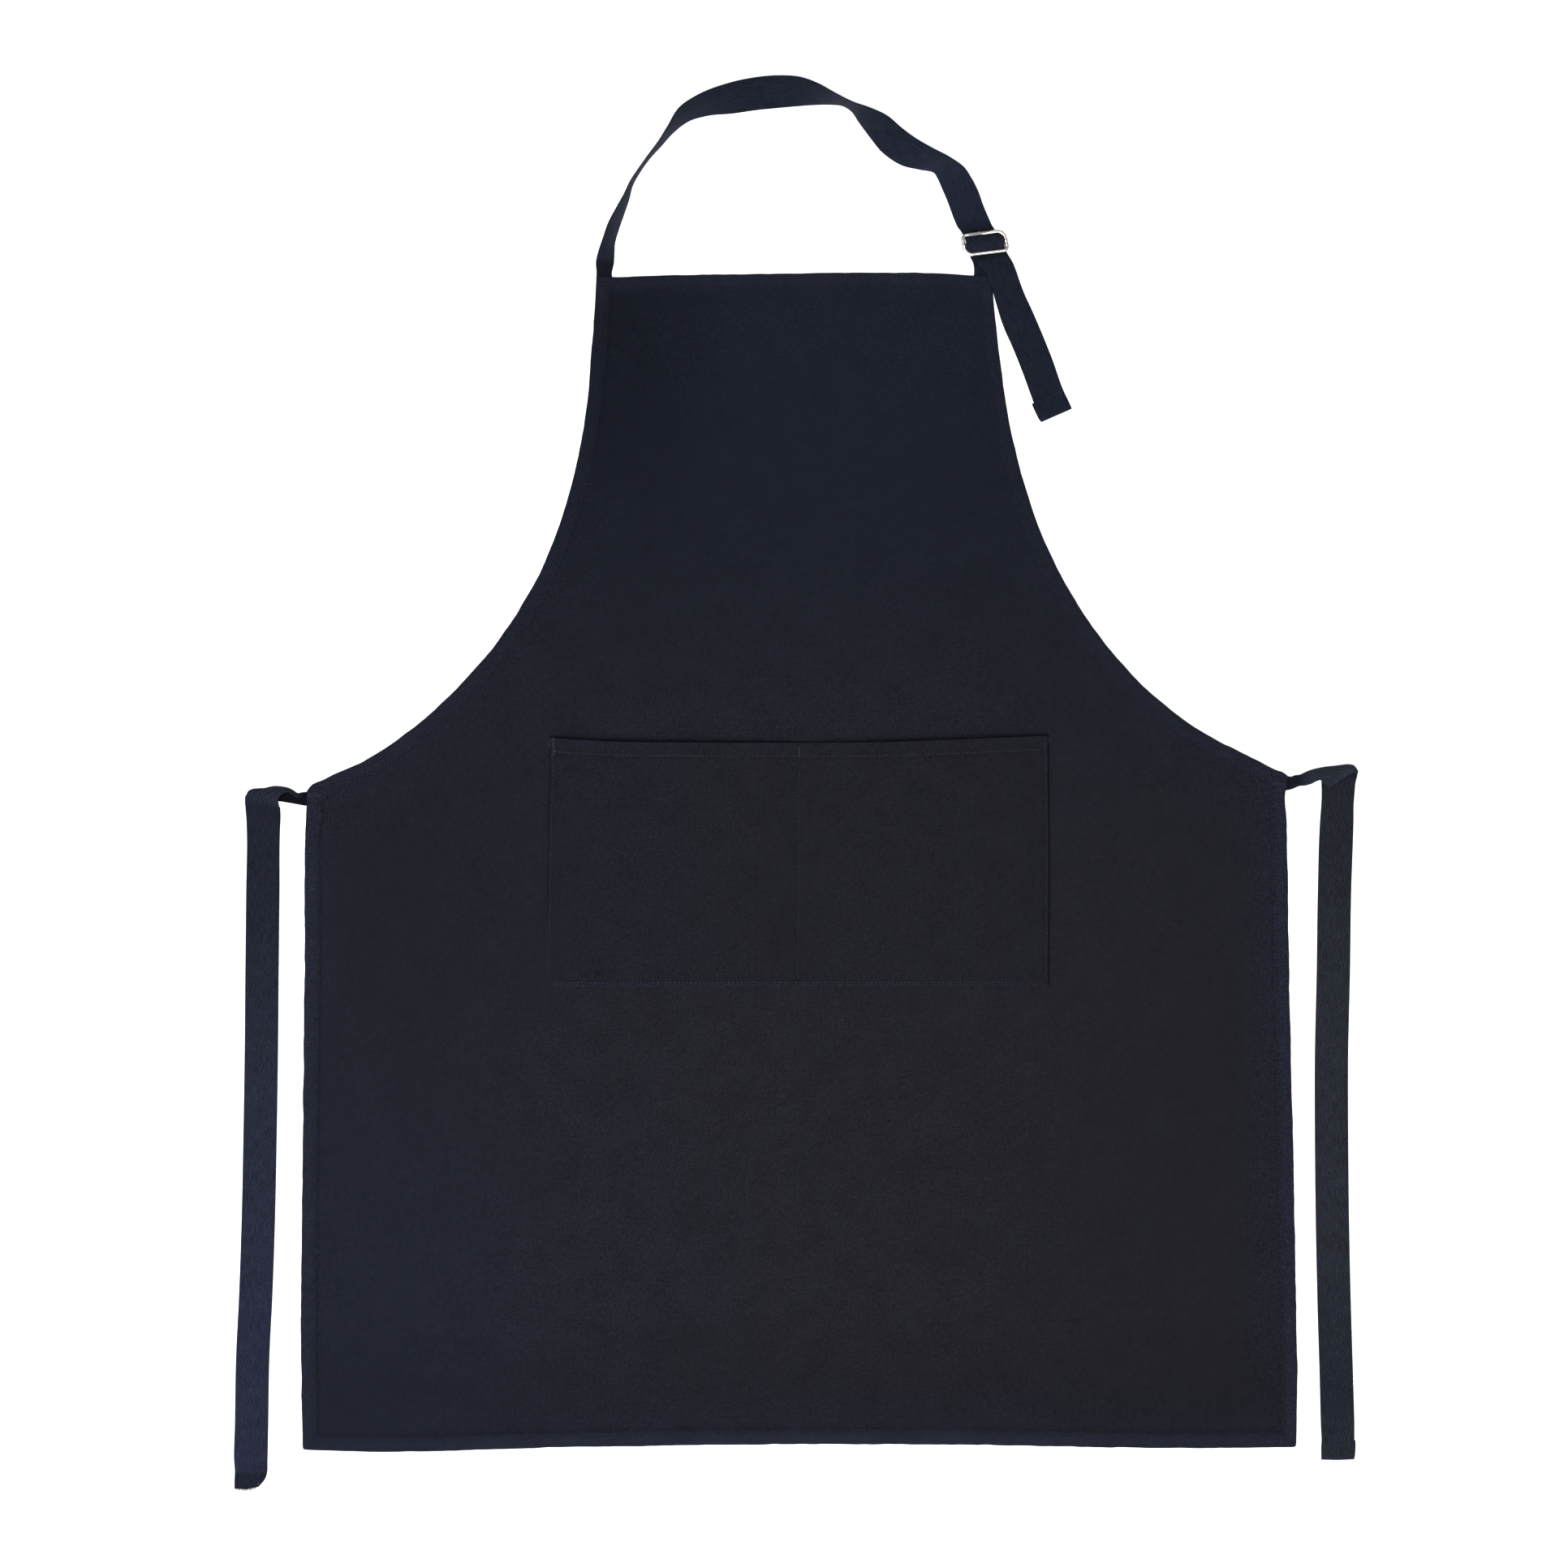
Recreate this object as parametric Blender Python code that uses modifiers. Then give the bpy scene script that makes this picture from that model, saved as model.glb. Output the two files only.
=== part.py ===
"""A bib apron that lies flat, front side up: a cloth panel with a pocket of two compartments, two waist
ties, and a neck strap whose length a metal slider sets.

Metres, +Z up, +Y towards the neck. The origin is on the resting plane, on the panel's centreline.
Places and dimensions are written in millimetres, and MM turns them into metres.
"""

import math

import bmesh
import bpy
from mathutils import Matrix, Vector

MM = 0.001
GAP = 0.3  # between pieces that touch on the real object

# Cloth
CLOTH = 0.6
HEM_THICK = 3 * CLOTH  # a double fold, three layers
HEM_WIDE = 10.5
STITCH_INSET = 9.2
THREAD_RADIUS = 0.25

# Herringbone tape
TAPE_WIDE = 23.5
TAPE_THICK = 0.7
SEWN_HALF = 5.6  # half the width of a tape end that is folded lengthwise and sewn under a hem

# Slider: a wire frame and a centre bar whose two eyes ride on the frame's sides
SLIDER_AT = (132.4, 441.9)
SLIDER_TURN = math.radians(7)
BAR_Z = 4.2
BAR_SPACING = 7.05  # from the centre bar to each end bar
SLIDER_HALF = 15.05
SLIDER_LEAN = 0.83  # how far each end bar is shifted sideways
WIRE_RADIUS = 1.15
EYE_INNER = WIRE_RADIUS + 0.25
EYE_OUTER = EYE_INNER + 0.45
EYE_LONG = 2.4

# Where the straps and ties bend at the panel's edge
NECK_HINGE_Y = 419.9
ANCHOR_ROOT_X = 130.4
LEFT_HINGE = (-358.5, 47.0)
RIGHT_HINGE = (360.0, 59.2)

# The panel's outline, clockwise from its top left corner
TOP_EDGE = [
    (-145, 418.6), (-131, 417.8), (-110, 418.8), (-38, 419.9), (30, 421), (70, 421), (101, 420.5),
    (122, 419.3), (137.5, 417.6),
]
RIGHT_ARMHOLE = [
    (137.5, 417.6), (139, 398), (143.3, 360), (151.5, 307), (162.5, 264), (184.2, 210), (221.9, 152),
    (255.5, 116.8), (286.5, 93.8), (329.5, 71.4), (347.2, 62),
]
RIGHT_SIDE = [(347.2, 62), (348.2, 30), (350, -80), (352.6, -196), (354.9, -312), (355.8, -370), (355, -418.2)]
BOTTOM_EDGE = [(355, -418.2), (280, -418.8), (107, -416.4), (-49, -416.4), (-165, -418.2), (-316, -421.3), (-355, -420)]
LEFT_SIDE = [(-355, -420), (-356.2, -340), (-355.6, -254), (-353.6, -80), (-352.4, 35), (-351.5, 50.5)]
LEFT_ARMHOLE = [
    (-351.5, 50.5), (-336, 60.8), (-313.8, 70.8), (-279, 93.4), (-252.5, 116.6), (-220, 152), (-184, 210),
    (-163.3, 268), (-152.2, 326), (-147.2, 384), (-145, 418.6),
]

# The pocket: its corners, how far its mouth sags and how far each compartment stands open
POCKET_LOW_LEFT, POCKET_LOW_RIGHT = (-178.9, -88.7), (178.1, -88.2)
POCKET_TOP_LEFT, POCKET_TOP_RIGHT = (-176.3, 90.5), (177.8, 90.9)
MOUTH_SAG = 5.2
POCKET_LIFT = 5.6
POCKET_RISE = 0.35  # the share of its depth in which a compartment reaches its full lift
MOUTH_STITCH = 12.7
EDGE_STITCH = 2.5

# Stations of the tapes: x, y, direction across the tape towards its outer edge, roll about the tape, width.
# The lower edge of a tape lies on the resting plane.
NECK_STRAP = [
    (-139.5, 420.6, 178, 0, 10.6), (-138.9, 427.5, 176, 25, 13.5), (-137.5, 435, 170, 50, 16.5),
    (-135.7, 443, 162, 66, 19.5), (-132.5, 452.7, 158, 72, 22.5), (-127.5, 464, 155, 78, 23.5),
    (-123.1, 473.9, 155, 83, 23.5), (-119.5, 483.7, 152, 88, 23.5), (-114.6, 491.8, 145, 90, 23.5),
    (-106.7, 502.9, 143, 90, 23.5), (-99.5, 511.6, 143, 87, 23.5), (-92.5, 521, 142, 82, 23.5),
    (-82.1, 532.7, 133, 67, 23.5), (-69.6, 539, 118, 55, 23.5), (-49.3, 544.6, 102, 33, 23.5),
    (-31.9, 548.1, 96, 23, 23.5), (-14.5, 549.7, 90, 24, 23.5), (0, 549.3, 83, 38, 23.5),
    (12.2, 547, 76, 58, 23.5), (23.5, 543.9, 72, 76, 23.5), (31.6, 541.3, 70, 84, 23.5),
    (37.7, 538, 62, 82, 23.5), (46.1, 532.2, 48, 64, 23.5), (56.3, 524.4, 50, 41, 23.5),
    (66.1, 514.9, 50, 28, 23.5), (78, 506.5, 57, 32, 23.5), (90.9, 500.9, 52, 48, 23.5),
    (100.9, 497.1, 40, 55, 23.5), (107.3, 492.1, 22, 38, 23.5), (114.2, 480.5, 13, 20, 23.5),
    (120.2, 465.6, 13, 6, 23.5),
]
TAIL = [
    (147.2, 415.3, 24, 12, 21), (149, 404, 24, 14, 21), (153.4, 392.5, 24, 12, 21), (163.2, 368.9, 24, 8, 22),
    (169.9, 354.4, 24, 5, 22.5), (177.5, 332.3, 24, 3, 23.5), (183.3, 319.6, 24, 2, 23.5),
]
LEFT_TIE = [
    (-364.8, 49, 95, 30, 10), (-371.2, 48.7, 105, 50, 16), (-377.6, 45.2, 130, 40, 21),
    (-382.2, 37.1, 160, 20, 23.5), (-383.1, 24.4, 180, 5, 23.5), (-383.4, -22, 180, 0, 23.5),
    (-384.5, -138, 180, 0, 23.5), (-385.4, -196, 180, 0, 23.5), (-386.6, -254, 180, 0, 23.5),
    (-388.6, -312, 182, 0, 23.5), (-390.6, -353, 182, 0, 23.5), (-391.5, -404, 180, 0, 23.5),
    (-392.4, -448, 180, 0, 23.5),
]
RIGHT_TIE = [
    (367, 60.6, 88, 25, 12), (375, 62.5, 80, 35, 18), (383, 61.3, 60, 38, 22), (387.5, 54.5, 30, 22, 23.5),
    (385.4, 42, 5, 8, 23.5), (384.1, 30, 0, 3, 23.5), (382.3, -22, 0, 0, 23.5), (381.5, -80, 0, 0, 23.5),
    (380.2, -138, 0, 0, 23.5), (380.2, -196, 0, 0, 23.5), (380.8, -254, 0, 0, 23.5), (382, -312, 0, 0, 23.5),
    (383.7, -370, 0, 0, 23.5), (385, -427, 0, 0, 23.5),
]


def clear_scene():
    for obj in list(bpy.data.objects):
        bpy.data.objects.remove(obj)


def new_collection(name):
    collection = bpy.data.collections.new(name)
    bpy.context.scene.collection.children.link(collection)
    return collection


def new_material(name, colour, roughness, metallic=0.0):
    material = bpy.data.materials.new(name)
    material.use_nodes = True
    shader = material.node_tree.nodes["Principled BSDF"]
    shader.inputs["Base Color"].default_value = (*colour, 1)
    shader.inputs["Roughness"].default_value = roughness
    shader.inputs["Metallic"].default_value = metallic
    return material


def smooth(points, steps):
    """A Catmull-Rom curve through the points, with this many steps between neighbours."""
    padded = [Vector(p) for p in points]
    padded = [2 * padded[0] - padded[1], *padded, 2 * padded[-1] - padded[-2]]
    curve = []
    for p0, p1, p2, p3 in zip(padded, padded[1:], padded[2:], padded[3:]):
        for step in range(steps):
            t = step / steps
            curve.append(
                0.5 * (2 * p1 + (p2 - p0) * t + (2 * p0 - 5 * p1 + 4 * p2 - p3) * t**2
                       + (3 * p1 - p0 - 3 * p2 + p3) * t**3)
            )
    return curve + [padded[-2]]


def blend_stations(stations, steps):
    """Stations of any length read from smooth curves through them, three numbers at a time."""
    firsts = smooth([s[:3] for s in stations], steps)
    lasts = smooth([s[3:] for s in stations], steps)
    return [(*first, *last) for first, last in zip(firsts, lasts)]


def inset(outline, distance):
    """A closed clockwise outline moved inwards, with mitred corners."""
    moved = []
    count = len(outline)
    for i, point in enumerate(outline):
        before = (point - outline[i - 1]).normalized()
        after = (outline[(i + 1) % count] - point).normalized()
        normal_before = Vector((before.y, -before.x))
        normal_after = Vector((after.y, -after.x))
        middle = (normal_before + normal_after).normalized()
        moved.append(point + middle * distance / middle.dot(normal_before))
    return moved


def arc(centre, radius, start, end, steps):
    """Points on an arc from one angle to another, in degrees."""
    angles = [math.radians(start + (end - start) * i / steps) for i in range(steps + 1)]
    return [(centre[0] + radius * math.cos(a), centre[1] + radius * math.sin(a)) for a in angles]


def add_object(name, data, material, collection):
    obj = bpy.data.objects.new(name, data)
    data.materials.append(material)
    collection.objects.link(obj)
    return obj


def poly_curve(name, points, cyclic=False, dimensions="3D"):
    curve = bpy.data.curves.new(name, "CURVE")
    curve.dimensions = dimensions
    spline = curve.splines.new("POLY")
    spline.points.add(len(points) - 1)
    for spot, point in zip(spline.points, points):
        spot.co = (*(c * MM for c in Vector(point).to_3d()), 1)
    spline.use_cyclic_u = cyclic
    return curve


def slab(name, outline, low, high, material, collection):
    """A flat outline between two heights, as a mesh."""
    curve = poly_curve(name, outline, cyclic=True, dimensions="2D")
    curve.fill_mode = "BOTH"
    curve.extrude = (high - low) / 2 * MM
    flat = add_object(name + "_outline", curve, material, collection)
    flat.location.z = (low + high) / 2 * MM
    bpy.context.view_layer.update()
    mesh = bpy.data.meshes.new_from_object(flat.evaluated_get(bpy.context.evaluated_depsgraph_get()))
    welded = bmesh.new()
    welded.from_mesh(mesh)
    bmesh.ops.remove_doubles(welded, verts=welded.verts, dist=1e-6)
    bmesh.ops.recalc_face_normals(welded, faces=welded.faces)
    welded.to_mesh(mesh)
    welded.free()
    solid = bpy.data.objects.new(name, mesh)
    solid.matrix_world = flat.matrix_world
    collection.objects.link(solid)
    bpy.data.objects.remove(flat)
    return solid


def box(name, low, high, material, collection):
    """A box between two corners."""
    cage = bmesh.new()
    size = Vector(high) - Vector(low)
    bmesh.ops.create_cube(cage, size=1, matrix=Matrix.Diagonal((*size * MM, 1)))
    mesh = bpy.data.meshes.new(name)
    cage.to_mesh(mesh)
    cage.free()
    obj = add_object(name, mesh, material, collection)
    obj.location = (Vector(low) + Vector(high)) / 2 * MM
    return obj


def boolean(obj, other, operation, solver="EXACT"):
    modifier = obj.modifiers.new(f"{operation}_{other.name}", "BOOLEAN")
    modifier.object = other
    modifier.operation = operation
    modifier.solver = solver
    other.hide_render = True
    other.display_type = "WIRE"


def strip(name, rows, thick, material, collection):
    """A sheet through rows of points, each row running across it, with Solidify for its thickness."""
    grid = bmesh.new()
    verts = [[grid.verts.new(Vector(p) * MM) for p in row] for row in rows]
    for row, following in zip(verts, verts[1:]):
        for a, b, c, d in zip(row, row[1:], following[1:], following):
            grid.faces.new((a, b, c, d))
    mesh = bpy.data.meshes.new(name)
    grid.to_mesh(mesh)
    grid.free()
    mesh.shade_smooth()
    obj = add_object(name, mesh, material, collection)
    solidify = obj.modifiers.new("thickness", "SOLIDIFY")
    solidify.thickness = thick * MM
    solidify.offset = 0
    return obj


def on_table(x, y, across, roll, width):
    """A tape station whose lower edge lies on the resting plane: x, y, z, across, roll, width."""
    tilt = math.radians(abs(roll))
    return (x, y, width / 2 * math.sin(tilt) + TAPE_THICK / 2 * math.cos(tilt), across, roll, width)


def tape(name, stations, material, collection):
    """A tape through stations of x, y, z, direction across, roll and width."""
    rows = []
    for x, y, z, across, roll, width in stations:
        turn, tilt = math.radians(across), math.radians(roll)
        half = width / 2 * Vector((math.cos(turn) * math.cos(tilt), math.sin(turn) * math.cos(tilt), math.sin(tilt)))
        centre = Vector((x, y, z))
        rows.append((centre - half, centre + half))
    return strip(name, rows, TAPE_THICK, material, collection)


def in_slider(u, v, z):
    """A point given along and across the slider's bars, as x, y, z."""
    cos, sin = math.cos(SLIDER_TURN), math.sin(SLIDER_TURN)
    return (SLIDER_AT[0] + u * cos - v * sin, SLIDER_AT[1] + u * sin + v * cos, z)


def threading_angle():
    """The slope of the tape between the centre bar and an end bar, from its two bend radii."""
    over = WIRE_RADIUS + 2 * GAP + 1.5 * TAPE_THICK
    under = WIRE_RADIUS + GAP + TAPE_THICK / 2
    return math.degrees(math.asin((over + under) / BAR_SPACING))


def strap_through_slider():
    """The strap's stations under the top bar, over the centre bar and under the bottom bar."""
    slope = threading_angle()
    over = WIRE_RADIUS + 2 * GAP + 1.5 * TAPE_THICK
    under = WIRE_RADIUS + GAP + TAPE_THICK / 2
    profile = [
        *arc((BAR_SPACING, BAR_Z), under, -90, -90 - slope, 4),
        *arc((0, BAR_Z), over, 90 - slope, 90 + slope, 8),
        *arc((-BAR_SPACING, BAR_Z), under, -90 + slope, -90, 4),
    ]
    drift = -0.3  # the strap crosses the slider at a slant
    return [(*in_slider(drift * v, v, z), math.degrees(SLIDER_TURN), 0, TAPE_WIDE) for v, z in profile]


def make_panel(cloth, cutter_material, parts, cutters):
    outline = []
    for edge in (TOP_EDGE, RIGHT_ARMHOLE, RIGHT_SIDE, BOTTOM_EDGE, LEFT_SIDE, LEFT_ARMHOLE):
        outline += smooth(edge, 2)[:-1]
    panel = slab("body_panel", outline, 0, HEM_THICK, cloth, parts)
    field = slab("field_cutter", inset(outline, HEM_WIDE), CLOTH, HEM_THICK + 2, cutter_material, cutters)
    boolean(panel, field, "DIFFERENCE", "MANIFOLD")  # the exact solver loses the whole panel here
    roof = TAPE_THICK + GAP + 0.1
    reach = HEM_WIDE - 1
    side = SEWN_HALF + GAP
    recesses = {
        "neck_recess": ((-139.5 - side, 418.6 - reach), (-139.5 + side, 425)),
        "anchor_recess": ((ANCHOR_ROOT_X - side, 418.6 - reach), (ANCHOR_ROOT_X + side, 425)),
        "left_tie_recess": ((-360, 45.5 - side), (-352 + reach, 45.5 + side)),
        "right_tie_recess": ((348 - reach, 56.5 - side), (360, 56.5 + side)),
    }
    for name, (low, high) in recesses.items():
        recess = box(name, (*low, -1), (*high, roof), cutter_material, cutters)
        boolean(panel, recess, "DIFFERENCE", "MANIFOLD")
    return panel


def pocket_point(across, up, above):
    """A point on the pocket panel: across and up from 0 to 1, and its height above the panel's mid surface."""
    low = Vector(POCKET_LOW_LEFT).lerp(Vector(POCKET_LOW_RIGHT), across)
    high = Vector(POCKET_TOP_LEFT).lerp(Vector(POCKET_TOP_RIGHT), across)
    place = low.lerp(high, up)
    place.y -= MOUTH_SAG * up * math.sin(math.pi * across)
    within = abs(2 * (2 * across % 1) - 1)
    rise = 1 - (1 - min(up / POCKET_RISE, 1)) ** 3
    lift = POCKET_LIFT * (1 - within**4) * rise
    return (place.x, place.y, 1.5 * CLOTH + GAP + lift + above)


def make_pocket(cloth, parts):
    columns, rows = 32, 9
    grid = [[pocket_point(i / columns, j / rows, 0) for i in range(columns + 1)] for j in range(rows + 1)]
    return strip("pocket_panel", grid, CLOTH, cloth, parts)


def make_thread(name, points, material, parts):
    curve = poly_curve(name, points)
    curve.bevel_depth = THREAD_RADIUS * MM
    curve.bevel_resolution = 1
    curve.use_fill_caps = True
    return add_object(name, curve, material, parts)


def make_hem_threads(thread, parts):
    height = HEM_THICK + GAP + THREAD_RADIUS
    edges = {
        "top_hem_stitching": (TOP_EDGE, 11.5, 11.5),
        "right_armhole_stitching": (RIGHT_ARMHOLE, 9, 12),
        "right_side_stitching": (RIGHT_SIDE, 12, 9),
        "bottom_hem_stitching": (BOTTOM_EDGE, 10.5, 10.5),
        "left_side_stitching": (LEFT_SIDE, 9, 9),
        "left_armhole_stitching": (LEFT_ARMHOLE, 10, 9),
    }
    for name, (edge, trim_start, trim_end) in edges.items():
        curve = smooth(edge, 3)
        line = []
        for i, point in enumerate(curve):
            along = curve[min(i + 1, len(curve) - 1)] - curve[max(i - 1, 0)]
            along.normalize()
            from_start = (point - curve[0]).length
            from_end = (point - curve[-1]).length
            if from_start >= trim_start and from_end >= trim_end:
                line.append(point + Vector((along.y, -along.x)) * STITCH_INSET)
        make_thread(name, [(p.x, p.y, height) for p in line], thread, parts)


def make_pocket_threads(thread, parts):
    height = CLOTH / 2 + GAP + THREAD_RADIUS
    wide = POCKET_TOP_RIGHT[0] - POCKET_TOP_LEFT[0]
    deep = POCKET_TOP_LEFT[1] - POCKET_LOW_LEFT[1]
    side, foot = EDGE_STITCH / wide, EDGE_STITCH / deep
    mouth = 1 - MOUTH_STITCH / deep
    steps = 12
    rise = [foot + (0.975 - foot) * i / steps for i in range(steps + 1)]
    run = [side + (1 - 2 * side) * i / steps for i in range(1, steps)]
    edge = [(side, up) for up in reversed(rise)] + [(across, foot) for across in run] + [(1 - side, up) for up in rise]
    make_thread("pocket_edge_stitching", [pocket_point(a, u, height) for a, u in edge], thread, parts)
    divider = [foot + 0.012 + (mouth - 2 * foot - 0.012) * i / steps for i in range(steps + 1)]
    make_thread("pocket_divider_stitching", [pocket_point(0.5, u, height) for u in divider], thread, parts)
    start = 2.2 * side
    across = [start + (1 - 2 * start) * i / 40 for i in range(41)]
    make_thread("pocket_mouth_stitching", [pocket_point(a, mouth, height) for a in across], thread, parts)


def bartack(name, centre, size, turn, material, parts):
    """A short dense bar of stitches, lying on the cloth."""
    half = Vector((*size, 0)) / 2
    bar = box(name, (-half.x, -half.y, 0), (half.x, half.y, 2 * THREAD_RADIUS), material, parts)
    bar.rotation_euler.z = math.radians(turn)
    bar.location = Vector((centre[0], centre[1], centre[2] + THREAD_RADIUS)) * MM
    rounding = bar.modifiers.new("rounding", "BEVEL")
    rounding.width = 0.15 * MM
    return bar


def make_bartacks(thread, parts):
    on_hem = HEM_THICK + GAP
    on_pocket = 2 * CLOTH + 2 * GAP
    bartack("neck_strap_bartack", (-139.5, 413.6, on_hem), (10, 1.6), 0, thread, parts)
    bartack("anchor_bartack", (130.4, 413.4, on_hem), (10, 1.6), 0, thread, parts)
    bartack("left_tie_bartack", (-346.6, 46.2, on_hem), (9.6, 1.6), 0, thread, parts)
    bartack("right_tie_bartack", (342.4, 56.4, on_hem), (8.6, 1.6), 0, thread, parts)
    middle = pocket_point(0.5, 0.965, 0)
    bartack("pocket_divider_bartack", (middle[0], middle[1], on_pocket), (1.6, 7), 0, thread, parts)


def make_tapes(twill_tape, parts):
    neck = [on_table(*s) for s in NECK_STRAP]
    tape("neck_strap", blend_stations(neck, 3) + strap_through_slider(), twill_tape, parts)

    last = strap_through_slider()[-1]
    start = (*in_slider(0.3 * (BAR_SPACING + 0.5), -BAR_SPACING - 0.5, last[2]), *last[3:])
    settle = (141.5, 426.3, 3.6, 18, 8, 22)
    resting = [on_table(*s) for s in TAIL]
    resting[0] = (*resting[0][:2], resting[0][2] + 2.2, *resting[0][3:])
    resting[1] = (*resting[1][:2], resting[1][2] + 1.4, *resting[1][3:])
    tape("strap_tail", blend_stations([start, settle, *resting], 3), twill_tape, parts)

    lap = TAPE_THICK + GAP  # a tie starts on top of its own sewn end, which lets it swing
    for name, hinge, across, width, stations in (
        ("left_tie", LEFT_HINGE, 90, 5, LEFT_TIE), ("right_tie", RIGHT_HINGE, 90, 7, RIGHT_TIE),
    ):
        root = (*hinge, TAPE_THICK / 2 + lap, across, 0, width)
        tape(name, blend_stations([root, *(on_table(*s) for s in stations)], 3), twill_tape, parts)

    level = TAPE_THICK / 2
    sewn = {
        "neck_strap_sewn_end": [(-139.5, 410, 0), (-139.5, 418.9, 0)],
        "anchor_sewn_end": [(ANCHOR_ROOT_X, 410, 0), (ANCHOR_ROOT_X, 419.1, 0)],
    }
    for name, line in sewn.items():
        tape(name, [(x, y, level, across, 0, 2 * SEWN_HALF) for x, y, across in line], twill_tape, parts)
    left = [
        (-343, 45.5, level, 90, 0, 11), (-352.5, 45.7, level, 90, 0, 10.4), (-356, 46.6, level, 90, 0, 6),
        (LEFT_HINGE[0] - 1.5, LEFT_HINGE[1], level, 90, 0, 4.5),
    ]
    right = [
        (339.5, 56.5, level, 90, 0, 11), (349, 57, level, 90, 0, 10.4), (353, 58.2, level, 90, 0, 7.5),
        (RIGHT_HINGE[0] + 1.5, RIGHT_HINGE[1], level, 90, 0, 7),
    ]
    tape("left_tie_sewn_end", left, twill_tape, parts)
    tape("right_tie_sewn_end", right, twill_tape, parts)


def make_anchor(twill_tape, parts):
    """The short tape that is sewn under the bib's corner and holds the slider's centre bar."""
    slope = threading_angle()
    around = WIRE_RADIUS + GAP + TAPE_THICK / 2
    below = WIRE_RADIUS + 2 * GAP + 1.5 * TAPE_THICK
    start = SLIDER_AT[1] - NECK_HINGE_Y
    upper = [(2.4 - start, 1.4), (-14, 1.4), *arc((-BAR_SPACING, BAR_Z), below, -90, -90 + slope, 4)]
    lower = [(-4, 0.95), (-8.5, 0.38), (-14, TAPE_THICK / 2), (1.0 - start, TAPE_THICK / 2)]
    profile = [*upper, *arc((0, BAR_Z), around, 90 + slope, -105, 14), *lower]
    stations = []
    for v, z in profile:
        share = min(max((v + start) / (start - BAR_SPACING), 0), 1)
        width = 2 * SEWN_HALF + (TAPE_WIDE - 0.5 - 2 * SEWN_HALF) * share**1.5
        x = ANCHOR_ROOT_X + (SLIDER_AT[0] - ANCHOR_ROOT_X) * share - v * math.sin(SLIDER_TURN) * share
        turned = math.degrees(SLIDER_TURN) * share
        stations.append((x, SLIDER_AT[1] + v, z, turned, 0, width))
    tape("anchor_loop", stations, twill_tape, parts)


def rounded_corners(corners, steps):
    """A closed path of straight runs and arcs, from corners given as u, v and radius."""
    path = []
    count = len(corners)
    for i, (u, v, radius) in enumerate(corners):
        corner = Vector((u, v))
        back = (Vector(corners[i - 1][:2]) - corner).normalized()
        ahead = (Vector(corners[(i + 1) % count][:2]) - corner).normalized()
        half = back.angle(ahead) / 2
        centre = corner + (back + ahead).normalized() * radius / math.sin(half)
        start = corner + back * radius / math.tan(half) - centre
        turn = start.angle_signed(corner + ahead * radius / math.tan(half) - centre)
        for step in range(steps + 1):
            path.append(centre + start @ Matrix.Rotation(turn * step / steps, 2))
    return path


def make_slider(metal, cutter_material, parts, cutters):
    tight, easy = 3.0, 5.5
    corners = [
        (-SLIDER_HALF - SLIDER_LEAN, BAR_SPACING, tight), (SLIDER_HALF - SLIDER_LEAN, BAR_SPACING, easy),
        (SLIDER_HALF + SLIDER_LEAN, -BAR_SPACING, tight), (-SLIDER_HALF + SLIDER_LEAN, -BAR_SPACING, easy),
    ]
    path = [in_slider(p.x, p.y, BAR_Z) for p in rounded_corners(corners, 6)]
    curve = poly_curve("slider_frame", path, cyclic=True)
    curve.bevel_depth = WIRE_RADIUS * MM
    curve.bevel_resolution = 3
    add_object("slider_frame", curve, metal, parts)

    place = Matrix.Translation(Vector(in_slider(0, 0, BAR_Z)) * MM) @ Matrix.Rotation(SLIDER_TURN, 4, "Z")
    bar = cylinder("slider_bar", WIRE_RADIUS, 2 * (SLIDER_HALF - EYE_OUTER + 0.3), metal, parts)
    bar.matrix_world = place @ Matrix.Rotation(math.radians(90), 4, "Y")
    lean = math.atan2(SLIDER_LEAN, BAR_SPACING)
    for side, u in (("left", -SLIDER_HALF), ("right", SLIDER_HALF)):
        stand = place @ Matrix.Translation((u * MM, 0, 0)) @ Matrix.Rotation(lean, 4, "Z")
        stand = stand @ Matrix.Rotation(math.radians(90), 4, "X")
        eye = cylinder(f"{side}_eye", EYE_OUTER, EYE_LONG, cutter_material, cutters)
        hole = cylinder(f"{side}_eye_hole", EYE_INNER, EYE_LONG + 2, cutter_material, cutters)
        eye.matrix_world = stand
        hole.matrix_world = stand
        boolean(bar, eye, "UNION")
        boolean(bar, hole, "DIFFERENCE")


def cylinder(name, radius, length, material, collection):
    cage = bmesh.new()
    bmesh.ops.create_cone(
        cage, cap_ends=True, segments=20, radius1=radius * MM, radius2=radius * MM, depth=length * MM
    )
    mesh = bpy.data.meshes.new(name)
    cage.to_mesh(mesh)
    cage.free()
    mesh.shade_smooth()
    mesh.set_sharp_from_angle(angle=math.radians(40))
    return add_object(name, mesh, material, collection)


def make_end_threads(thread, parts):
    """The line of stitches that holds the folded end of each free tape."""
    height = TAPE_THICK + GAP + THREAD_RADIUS
    half = TAPE_WIDE / 2 - 1.5
    make_thread("left_tie_end_stitching", [(-392 - half, -435, height), (-392 + half, -435, height)], thread, parts)
    make_thread("right_tie_end_stitching", [(384.7 - half, -415, height), (384.7 + half, -415, height)], thread, parts)
    turn, raised = math.radians(24), math.radians(3)
    along = Vector((math.cos(turn) * math.cos(raised), math.sin(turn) * math.cos(raised), math.sin(raised)))
    centre = Vector((177.5, 332.3, TAPE_WIDE / 2 * math.sin(raised) + height + 0.1))
    make_thread("strap_tail_stitching", [centre - along * half, centre + along * half], thread, parts)


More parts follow.
